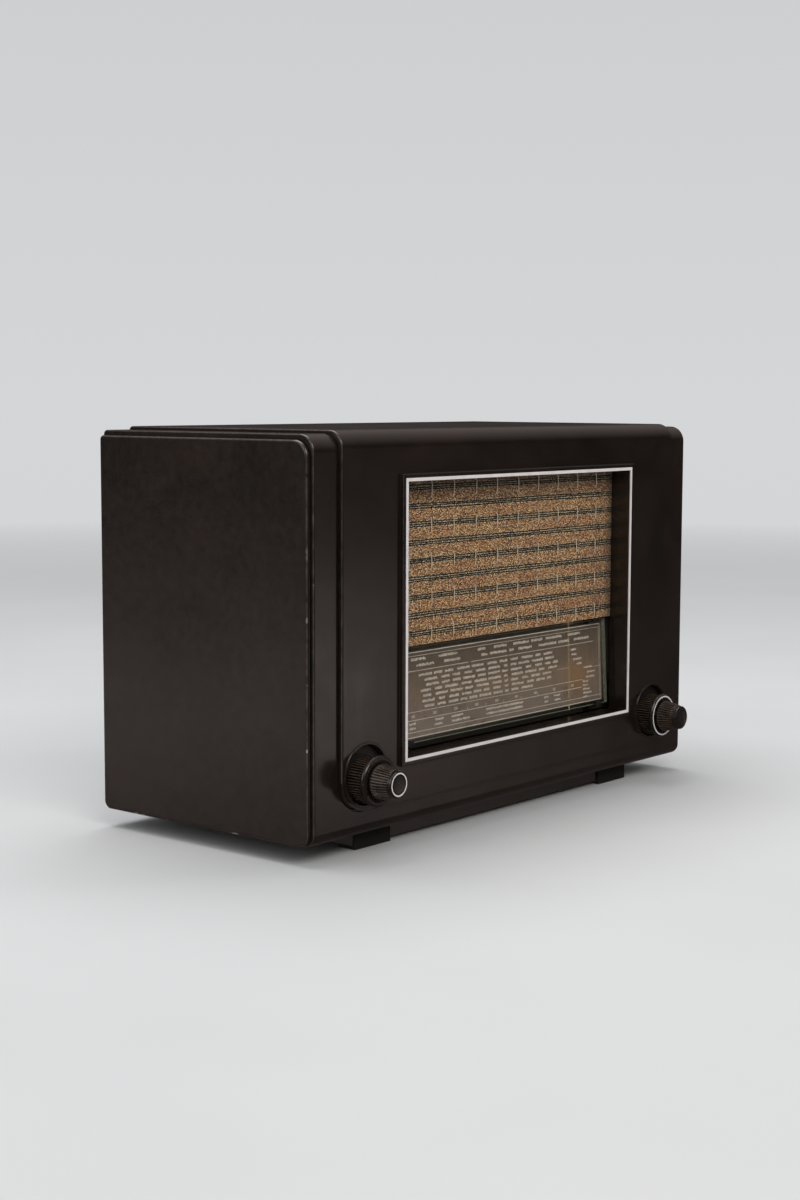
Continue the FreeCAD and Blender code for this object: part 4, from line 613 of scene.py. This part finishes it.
def cloth_material():
    """Nubby gold weave in broad bands, with darker, flatter ground under the groups of dark threads and painted shadow
    along its top and right edge.
    """
    s = Shader("grille_cloth")
    c = s.coords()
    x_mm, _, z_mm = s.position(c)
    height = s.plus(z_mm, s.less(s.noise(c, 30.0, 2.0), 0.5))
    phase = s.math("FRACT", s.math("DIVIDE", s.less(height, BAND_START - BAND_PITCH / 2.0), BAND_PITCH))
    off = s.times(s.absolute(s.less(phase, 0.5)), BAND_PITCH)
    in_group = s.invert(s.step(off, 2.0, 2.5))
    plane = s.node("CombineXYZ", s.math("DIVIDE", x_mm, 1.25), s.math("DIVIDE", height, 0.9), 0.0).outputs[0]
    nub = s.node("TexVoronoi", voronoi_dimensions="2D", Vector=plane, Scale=1.0, Randomness=0.8)
    dist = nub.outputs["Distance"]
    rand = s.node("SeparateXYZ", nub.outputs["Color"]).outputs[0]
    fine = s.noise(s.scaled(c, (900.0, 900.0, 1700.0)), 1.0, 3.0, 0.7)
    tone = s.plus(s.times(rand, 0.62), s.times(fine, 0.38))
    gold = s.ramp(tone, [(0.10, (0.070, 0.022, 0.008)), (0.34, (0.38, 0.165, 0.055)),
                         (0.58, (0.68, 0.355, 0.130)), (0.80, (0.98, 0.68, 0.32)), (0.95, (1.0, 0.86, 0.58))])
    patch_noise = s.noise(s.scaled(c, (26.0, 26.0, 60.0)), 1.0, 4.0, 0.6)
    rusty = s.shade(gold, (0.80, 0.50, 0.36))
    gold = s.mix(s.ramp(patch_noise, [(0.42, 0.0), (0.72, 0.55)]), gold, rusty)
    ground = s.ramp(tone, [(0.20, (0.14, 0.088, 0.046)), (0.5, (0.60, 0.44, 0.25)),
                           (0.85, (0.95, 0.80, 0.54))])
    color = s.mix(in_group, gold, ground)
    crest = s.invert(s.step(dist, 0.20, 0.66))
    dark = s.plus(0.10, s.times(crest, 1.05))
    color = s.shade(color, s.grey(dark))
    # Painted shadow: the cloth is darkened over its top 24 mm, under the cabinet's overhang, and over its right 10 mm,
    # beside the reveal.
    shade_top = s.step(s.times(z_mm, -1.0), -246.0, -222.0)
    shade_side = s.step(s.times(x_mm, -1.0), -132.0, -122.0)
    painted_shadow = s.plus(0.22, s.times(shade_top, shade_side, 0.78))
    color = s.shade(color, s.grey(painted_shadow))
    relief = s.plus(crest, s.times(fine, 0.6))
    s.surface(Base_Color=color, Roughness=0.85, Sheen_Weight=0.15, Sheen_Roughness=0.5,
              Normal=s.bump(relief, 0.9, 0.00055))
    return s.material


def yarn_material(name, dark, light, scale):
    """Dull fuzzy thread, paler where its fibres stand up."""
    s = Shader(name)
    c = s.coords()
    fibre = s.noise(s.scaled(c, (scale, scale, scale)), 1.0, 4.0, 0.7)
    s.surface(Base_Color=s.ramp(fibre, [(0.35, dark), (0.7, light)]), Roughness=0.9, Specular_IOR_Level=0.2,
              Normal=s.bump(fibre, 0.6, 0.0002))
    return s.material


def cloth_y(x, z):
    """Set-back of the stretched cloth's front, which is nowhere quite flat."""
    sag = 0.35 * math.sin(x * 0.021 + 0.4) * math.sin(z * 0.05) + 0.12 * math.sin(x * 0.11 + z * 0.07)
    return CLOTH_FACE + 0.35 * sag


def grille_cloth():
    """The cloth as one closed sheet: a gently uneven front, a turned rim and a flat back."""
    nx, nz = 278, 128
    verts, faces = [], []
    for j in range(nz + 1):
        z = CLOTH_LOW + (CLOTH_TOP - CLOTH_LOW) * j / nz
        for i in range(nx + 1):
            x = -CLOTH_HALF + 2.0 * CLOTH_HALF * i / nx
            verts.append((x, cloth_y(x, z), z))
    front = len(verts)
    for j in range(nz):
        for i in range(nx):
            a = j * (nx + 1) + i
            faces.append((a, a + 1, a + nx + 2, a + nx + 1))
    rim = list(range(nx + 1)) + [(j + 1) * (nx + 1) - 1 for j in range(1, nz + 1)]
    rim += [nz * (nx + 1) + i for i in range(nx - 1, -1, -1)] + [j * (nx + 1) for j in range(nz - 1, 0, -1)]
    for v in rim:
        x, _, z = verts[v]
        verts.append((x, CLOTH_FACE + CLOTH_THICK, z))
    for k in range(len(rim)):
        k2 = (k + 1) % len(rim)
        faces.append((rim[k], front + k, front + k2, rim[k2]))
    faces.append(tuple(front + k for k in reversed(range(len(rim)))))
    cloth = mesh_object("grille_cloth", verts, faces, [cloth_material()], "radio", "grille_cloth", 80.0)
    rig.replaces(cloth, "speaker_cloth")


def tube_along(points, radius, sides=6, wide=1.0):
    """Vertices and faces of a thin tube; its cross-section may be wider than it is deep."""
    verts, faces = [], []
    for i, p in enumerate(points):
        a = points[max(i - 1, 0)]
        b = points[min(i + 1, len(points) - 1)]
        t = Vector((b[0] - a[0], b[1] - a[1], b[2] - a[2])).normalized()
        out = Vector((0, 1, 0))
        side = t.cross(out).normalized()
        out = side.cross(t).normalized()
        for k in range(sides):
            w = 2.0 * math.pi * k / sides
            q = Vector(p) + side * (radius * wide * math.cos(w)) + out * (radius * math.sin(w))
            verts.append(tuple(q))
    for i in range(len(points) - 1):
        for k in range(sides):
            k2 = (k + 1) % sides
            faces.append((i * sides + k, i * sides + k2, (i + 1) * sides + k2, (i + 1) * sides + k))
    faces.append(tuple(reversed(range(sides))))
    faces.append(tuple(range((len(points) - 1) * sides, len(points) * sides)))
    return verts, faces


def gather(name, shapes, material, body, slot, sharp=80.0):
    """Many small closed shapes made into one piece."""
    verts, faces = [], []
    for v, f in shapes:
        base = len(verts)
        verts.extend(v)
        faces.extend(tuple(i + base for i in face) for face in f)
    mesh_object(name, verts, faces, [material], body, slot, sharp)


def dark_yarns():
    """Three dark weft threads in each group, dipping under the warp so that they show as dashes."""
    rng = random.Random(7)
    tubes = []
    z_mid = BAND_START
    while z_mid < WEAVE_TOP - 2.0:
        for k in (-1, 0, 1):
            drift = rng.uniform(-0.12, 0.12)
            phase = rng.uniform(0.0, 6.28)
            pts = []
            x = -WEAVE_HALF
            while x <= WEAVE_HALF:
                wander = 0.16 * math.sin(x * 0.045 + phase) + rng.uniform(-0.06, 0.06)
                z = z_mid + DARK_PITCH * k + drift + wander
                dip = 0.22 * math.sin(x * 2.0 * math.pi / 2.8 + phase + k * math.pi)
                pts.append((x, cloth_y(x, z) - 0.22 + dip, z))
                x += 0.35
            tubes.append(tube_along(pts, 0.25, 5, 1.25))
        z_mid += BAND_PITCH
    black = yarn_material("dark_yarn", (0.0025, 0.0018, 0.0014), (0.011, 0.0075, 0.0052), 1500.0)
    gather("cloth_dark_yarns", tubes, black, "radio", "grille_cloth")


def cream_yarns():
    """Cream warp threads that float over every second dark group and dive under in between."""
    rng = random.Random(11)
    tubes = []
    for i in range(-5, 6):
        x0 = CREAM_FIRST + CREAM_PITCH * i
        if abs(x0) > WEAVE_HALF - 1.0:
            continue
        phase = rng.uniform(0.0, 6.28)
        pts = []
        z = CLOTH_LOW + 0.3
        while z <= WEAVE_TOP:
            q = ((z - BAND_START + FLOAT_LOW) / (2.0 * BAND_PITCH)) % 1.0
            away = min(q, 1.0 - q) * 2.0 * BAND_PITCH
            over = min(1.0, max(0.0, 1.0 - (away - FLOAT_HALF) / FLOAT_DIVE))
            dip = 0.42 - 1.05 * over
            if over < 0.9:
                dip += 0.16 * math.sin(z * 2.0 * math.pi / 2.6 + phase)
            x = x0 + 0.35 * math.sin(z * 0.06 + phase) + rng.uniform(-0.04, 0.04)
            pts.append((x, cloth_y(x, z) + dip, z))
            z += 0.45
        tubes.append(tube_along(pts, 0.30, 6, 1.3))
    cream = yarn_material("cream_yarn", (0.38, 0.31, 0.21), (0.85, 0.76, 0.60), 1500.0)
    gather("cloth_cream_yarns", tubes, cream, "radio", "grille_cloth")


# ---------- dial print ----------
# The glass leans back. Its printing is on the rear face: v runs up the glass, u back from its front face.
LEAN = math.radians(3.0)
GLASS_SETBACK, GLASS_LOW, GLASS_HALF, GLASS_THICK = 6.0, 65.0, 125.0, 3.0
INK_AT = GLASS_THICK + 0.04
INK_THICK = 0.05
INK_COLOR = (0.82, 0.76, 0.68)
PRINT_LEFT, PRINT_RIGHT = -122.5, 122.0
CENTRE_GAP = (4.5, 8.0)


def on_glass(x, v, u=INK_AT):
    """A point u behind the front of the leaning glass and v above its lower edge."""
    y = GLASS_SETBACK + u * math.cos(LEAN) + v * math.sin(LEAN)
    return (x, y, GLASS_LOW + v * math.cos(LEAN) - u * math.sin(LEAN))


def patch(x0, x1, v0, v1):
    """A thin raised block of printing ink between two corners."""
    square = ((x0, v0), (x1, v0), (x1, v1), (x0, v1))
    corners = [on_glass(x, v, u) for u in (INK_AT, INK_AT + INK_THICK) for x, v in square]
    return corners, [(0, 1, 2, 3), (7, 6, 5, 4), (0, 4, 5, 1), (1, 5, 6, 2), (2, 6, 7, 3), (3, 7, 4, 0)]


def pseudo_word(rng, x, v, length, tall):
    """A run of short strokes the size of a printed name. It spells nothing."""
    made = []
    end = x + length
    while x < end - 0.5:
        w = rng.choice((0.35, 0.5, 0.75))
        low = rng.choice((0.0, 0.0, 0.25))
        high = rng.choice((0.75, 1.0, 1.0))
        made.append(patch(x, x + w, v + tall * low, v + tall * high))
        if rng.random() < 0.55:
            bar = rng.choice((0.1, 0.45, 0.85)) * tall
            made.append(patch(x, x + w + 0.35, v + bar, v + bar + 0.3))
        x += w + 0.32
    return made


def words(rng, made, v, spans, tall):
    """Mock names on one line: each span is a start and a length in millimetres."""
    for x, length in spans:
        made.extend(pseudo_word(rng, x, v, length, tall))


def dial_lines():
    """Frame lines and scale lines of the dial."""
    left, right = PRINT_LEFT, PRINT_RIGHT
    full_width = ((60.2, 0.55), (57.8, 0.25), (6.2, 0.35), (2.6, 0.6))
    made = [patch(left, right, v, v + wide) for v, wide in full_width]
    made += [patch(left, -41.5, 47.6, 47.95), patch(-38.0, 4.5, 47.6, 47.95), patch(6.0, 113.0, 47.6, 47.95)]
    made += [patch(left, 98.0, 19.9, 20.2), patch(left, 96.0, 14.2, 14.6)]
    made += [patch(66.0, 80.0, 30.8, 31.0), patch(104.0, right, 28.3, 28.55)]
    made += [patch(x, x + 0.3, 2.6, 60.5) for x in (left, right - 0.3)]
    made += [patch(x, x + 0.25, 2.6, 58.0) for x in (left + 1.6, right - 1.8)]
    return made


# Lines of mock names: height up the glass, then the start and length of each name.
TITLE_ROWS = (
    (54.6, ((-104, 16), (-74, 21), (-30, 9), (-11, 15), (12, 19), (34, 14), (52, 20), (80, 16))),
    (50.4, ((-98, 19), (-68, 18), (-26, 7), (-16, 20), (7, 6), (18, 16), (43, 22), (68, 14), (88, 20))))
FOOT_ROWS = (
    (11.4, ((-108, 7), (-80, 9), (-62, 13), (-22.5, 44), (48, 5), (60, 8))),
    (8.2, ((-108, 7), (-81, 9), (-62, 20), (-22.5, 44), (48, 5), (61, 8))))
# The block of names in the middle: where each of its seven rows starts and ends.
BLOCK_ROWS = (
    (-96.0, 60.5), (-90.0, 67.5), (-88.5, 66.5), (-94.5, 70.0), (-92.0, 58.0), (-93.5, 57.5), (-91.0, 36.0))
BLOCK_TOP, BLOCK_PITCH = 43.6, 3.62
# The list at the right: seven names on a curve under the top line, then five more in a column.
LIST_CURVE = (83.3, 84.2, 86.5, 90.5, 99.5, 104.0, 102.5)
LIST_TOP, LIST_PITCH = 43.2, 3.75
COLUMN_X, COLUMN_TOP, COLUMN_PITCH, COLUMN_ROWS = 98.0, 17.6, 2.9, 5


def name_block(rng, made):
    """Rows of names of mixed length, with a gap down the middle of the dial."""
    for row, (x, end) in enumerate(BLOCK_ROWS):
        v = BLOCK_TOP - BLOCK_PITCH * row
        while x < end - 4.0:
            length = min(rng.choice((7.0, 9.0, 11.0, 14.0)), end - x)
            if x < CENTRE_GAP[0] < x + length:
                length = max(CENTRE_GAP[0] - x, 3.0)
            made.extend(pseudo_word(rng, x, v, length, 1.8))
            x += length + rng.choice((2.4, 3.2, 4.4))
            if 3.0 < x < CENTRE_GAP[1]:
                x = CENTRE_GAP[1]


def side_list(rng, made):
    """One short name at each place of the curve and the column."""
    spots = [(x, LIST_TOP - LIST_PITCH * row) for row, x in enumerate(LIST_CURVE)]
    spots += [(COLUMN_X, COLUMN_TOP - COLUMN_PITCH * row) for row in range(COLUMN_ROWS)]
    for x, v in spots:
        words(rng, made, v, ((x, rng.choice((7.0, 9.0, 11.0))),), 1.5)


def dial_print():
    """Everything printed on the back of the glass. The marks are the size of names and spell nothing."""
    rng = random.Random(23)
    made = dial_lines()
    for v, spans in TITLE_ROWS:
        words(rng, made, v, spans, 1.9)
    name_block(rng, made)
    side_list(rng, made)
    for v, spans in FOOT_ROWS:
        words(rng, made, v, spans, 1.6)
    made += [patch(-44.0 + 21.0 * k, -43.7 + 21.0 * k, 15.0, 16.6) for k in range(6)]
    ink = plain("dial_ink", INK_COLOR, 0.6, 0.0, 900.0, 0.05, 0.2)
    gather("dial_print", made, ink, "radio", "dial_glass", 30.0)


def dial_tint():
    """Aged translucent wash on the back of the glass, browned where the lamp has warmed it."""
    s = Shader("dial_tint")
    c = s.coords()
    x_mm, _, z_mm = s.position(c)
    cloud = s.noise(s.scaled(c, (26.0, 26.0, 40.0)), 1.0, 5.0, 0.6, 0.6)
    fine = s.noise(s.scaled(c, (700.0, 700.0, 500.0)), 1.0, 4.0, 0.7)
    rise = s.step(z_mm, 68.0, 128.0)
    base = s.ramp(rise, [(0.05, (0.50, 0.405, 0.345)), (0.45, (0.45, 0.325, 0.235)),
                         (0.9, (0.20, 0.150, 0.115))])
    base = s.mix(s.ramp(cloud, [(0.38, 0.0), (0.7, 0.5)]), base, (0.29, 0.225, 0.17))
    stain = s.times(s.band(x_mm, 92.0, 15.0), s.band(z_mm, 87.0, 12.0))
    stain = s.times(stain, s.plus(0.55, s.times(cloud, 0.8)))
    base = s.mix(s.math("MINIMUM", stain, 0.8), base, (0.62, 0.36, 0.165))
    wash = s.node("BsdfDiffuse", Color=s.mix(s.times(fine, 0.3), base, (0.16, 0.13, 0.10)))
    see = s.plus(0.36, s.times(cloud, 0.22))
    s.blend(see, wash, s.node("BsdfTransparent"))
    left, right, low, high = -GLASS_HALF, PRINT_RIGHT + 0.3, 2.3, 60.9
    square = ((left, low), (right, low), (right, high), (left, high))
    corners = [on_glass(x, v, INK_AT + INK_THICK + 0.02) for x, v in square]
    mesh_object("dial_tint", corners, [(0, 1, 2, 3)], [s.material], "radio", "dial_glass", 30.0)


def dial_numbers():
    """Plain scale numbers between the two lowest scale lines."""
    ink = plain("number_ink", INK_COLOR, 0.6, 0.0, 900.0, 0.05, 0.2)
    for k in range(9):
        text = str(150 + 50 * k)
        curve = bpy.data.curves.new("scale_number", "FONT")
        curve.body = text
        curve.size = 2.7 * MM
        curve.extrude = 0.02 * MM
        curve.align_x = "CENTER"
        o = add_object("scale_number_" + text, curve)
        x, y, z = on_glass(-104.0 + 23.5 * k, 16.2)
        o.rotation_euler = (math.pi / 2.0 - LEAN, 0.0, 0.0)
        o.location = (x * MM, FRONT + y * MM, z * MM)
        bpy.context.view_layer.update()
        mesh = bpy.data.meshes.new_from_object(o.evaluated_get(bpy.context.evaluated_depsgraph_get()))
        mesh.transform(o.matrix_world)
        bpy.data.objects.remove(o)
        solid = add_object("scale_number_" + text, mesh)
        paint(solid, ink)
        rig.ride(solid, "radio")
        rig.slot(solid, "dial_glass")


paint_nodes()
knob("volume_knob_turned", -1, "volume", "volume_knob", SMALL_PROFILE, SMALL_RIBS, SMALL_RING)
knob("tone_knob_turned", -1, "tone", "tone_knob", LARGE_PROFILE, LARGE_RIBS)
knob("tuning_knob_turned", 1, "tuning", "tuning_knob", SMALL_PROFILE, SMALL_RIBS)
knob("waveband_knob_turned", 1, "waveband", "waveband_knob", LARGE_PROFILE, LARGE_RIBS, LARGE_RING)
grille_cloth()
dark_yarns()
cream_yarns()
dial_print()
dial_tint()
dial_numbers()

for o in NODES.values():
    o.data.shade_smooth()
    o.data.set_sharp_from_angle(angle=math.radians(28.0))


# ---------- stage ----------
# The camera stands to the left of the front, a little above the radio, and looks slightly down.
CAMERA_AT = (-1096.7, -886.0, 298.5)
CAMERA_FORWARD = (0.76340, 0.63715, -0.10614)
CAMERA_RIGHT = (0.64103, -0.76751, 0.00325)
CAMERA_LENS, CAMERA_FILM = 57.8, 36.0


def make_camera():
    forward = Vector(CAMERA_FORWARD).normalized()
    right = Vector(CAMERA_RIGHT).normalized()
    up = right.cross(forward).normalized()
    right = forward.cross(up).normalized()
    cam = add_object("camera", bpy.data.cameras.new("camera"))
    m = Matrix((right, up, -forward)).transposed().to_4x4()
    m.translation = Vector(CAMERA_AT) * MM
    cam.matrix_world = m
    cam.data.lens = CAMERA_LENS
    cam.data.sensor_width = CAMERA_FILM
    cam.data.clip_start = 0.02
    bpy.context.scene.camera = cam


def area_light(name, place, target, size, power, color=(1.0, 1.0, 1.0)):
    """A soft rectangular lamp aimed at a point; places are in metres."""
    data = bpy.data.lights.new(name, "AREA")
    data.shape = "RECTANGLE"
    data.size, data.size_y = size
    data.energy = power
    data.color = color
    o = add_object(name, data)
    o.location = place
    o.rotation_mode = "QUATERNION"
    o.rotation_quaternion = (Vector(target) - Vector(place)).to_track_quat("-Z", "Y")
    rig.stage(o)
    return o


def make_floor():
    """Plain pale floor that fades into the backdrop well beyond the radio."""
    bm = bmesh.new()
    bmesh.ops.create_grid(bm, x_segments=1, y_segments=1, size=8.0)
    mesh = bpy.data.meshes.new("floor")
    bm.to_mesh(mesh)
    bm.free()
    floor = add_object("floor", mesh)
    s = Shader("floor")
    c = s.coords()
    tone = s.ramp(s.noise(c, 2.5, 3.0), [(0.3, (0.64, 0.645, 0.65)), (0.7, (0.68, 0.685, 0.69))])
    paper = s.node("BsdfDiffuse", Color=tone, Normal=s.bump(s.noise(c, 900.0, 2.0), 0.05, 0.0002))
    far = s.node("VectorMath", c, operation="LENGTH").outputs["Value"]
    s.blend(s.step(far, 1.0, 3.2), paper, s.node("BsdfTransparent"))
    paint(floor, s.material)
    floor.visible_glossy = False
    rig.stage(floor)


def make_world():
    """Pale backdrop for the camera, soft fill for matt surfaces, dark room with soft bands for shiny ones."""
    s = Shader("world", "World")
    ray = s.node("LightPath")
    east, _, up = s.node("SeparateXYZ", s.node("TexCoord").outputs["Generated"]).outputs
    seen = s.ramp(s.step(up, -0.5, 0.6), [(0.0, (0.62, 0.63, 0.64)), (0.45, (0.66, 0.67, 0.68)),
                                          (1.0, (0.52, 0.535, 0.55))])
    fill = s.ramp(s.step(up, -0.6, 1.0), [(0.0, (0.20, 0.19, 0.18)), (0.6, (0.28, 0.28, 0.28)),
                                          (1.0, (0.42, 0.43, 0.45))])
    end_side = s.invert(s.step(east, -0.3, 0.3))
    shelf = s.times(s.band(up, -0.165, 0.032), end_side, 0.75)
    pane = s.times(s.band(up, -0.150, 0.045), s.band(east, 0.715, 0.05), 1.9)
    ceiling = s.times(s.step(up, 0.15, 0.8), 0.5)
    low = s.times(s.step(s.times(up, -1.0), 0.17, 0.24), 0.05)
    glow = s.plus(0.022, s.times(end_side, 0.035), shelf, pane, ceiling, low)
    mirror = s.shade(s.grey(glow), (1.0, 0.84, 0.79))
    color = s.mix(ray.outputs["Is Glossy Ray"], fill, mirror)
    color = s.mix(ray.outputs["Is Camera Ray"], color, seen)
    back = s.node("Background", Color=color, Strength=1.0)
    s.tree.links.new(back.outputs[0], s.out.inputs["Surface"])
    bpy.context.scene.world = s.material


def make_stage():
    make_floor()
    make_world()
    area_light("key", (-1.0, -1.9, 1.7), (0, 0, 0.12), (1.5, 1.1), 24.0, (1.0, 0.97, 0.93))
    area_light("top", (0.1, 0.5, 2.1), (0, 0, 0.1), (2.0, 1.4), 28.0)
    area_light("side", (-2.0, 0.3, 0.9), (0, 0, 0.12), (0.9, 1.1), 6.0)
    area_light("rim", (1.5, -1.0, 0.9), (0, 0, 0.15), (0.6, 1.1), 5.0).visible_glossy = False
    bpy.context.scene.view_settings.view_transform = "Standard"


make_camera()
make_stage()

with open("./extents.json", "w") as f:
    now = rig.bounds()
    json.dump([[list(v) for v in START_BOUNDS], [list(v) for v in now]], f)
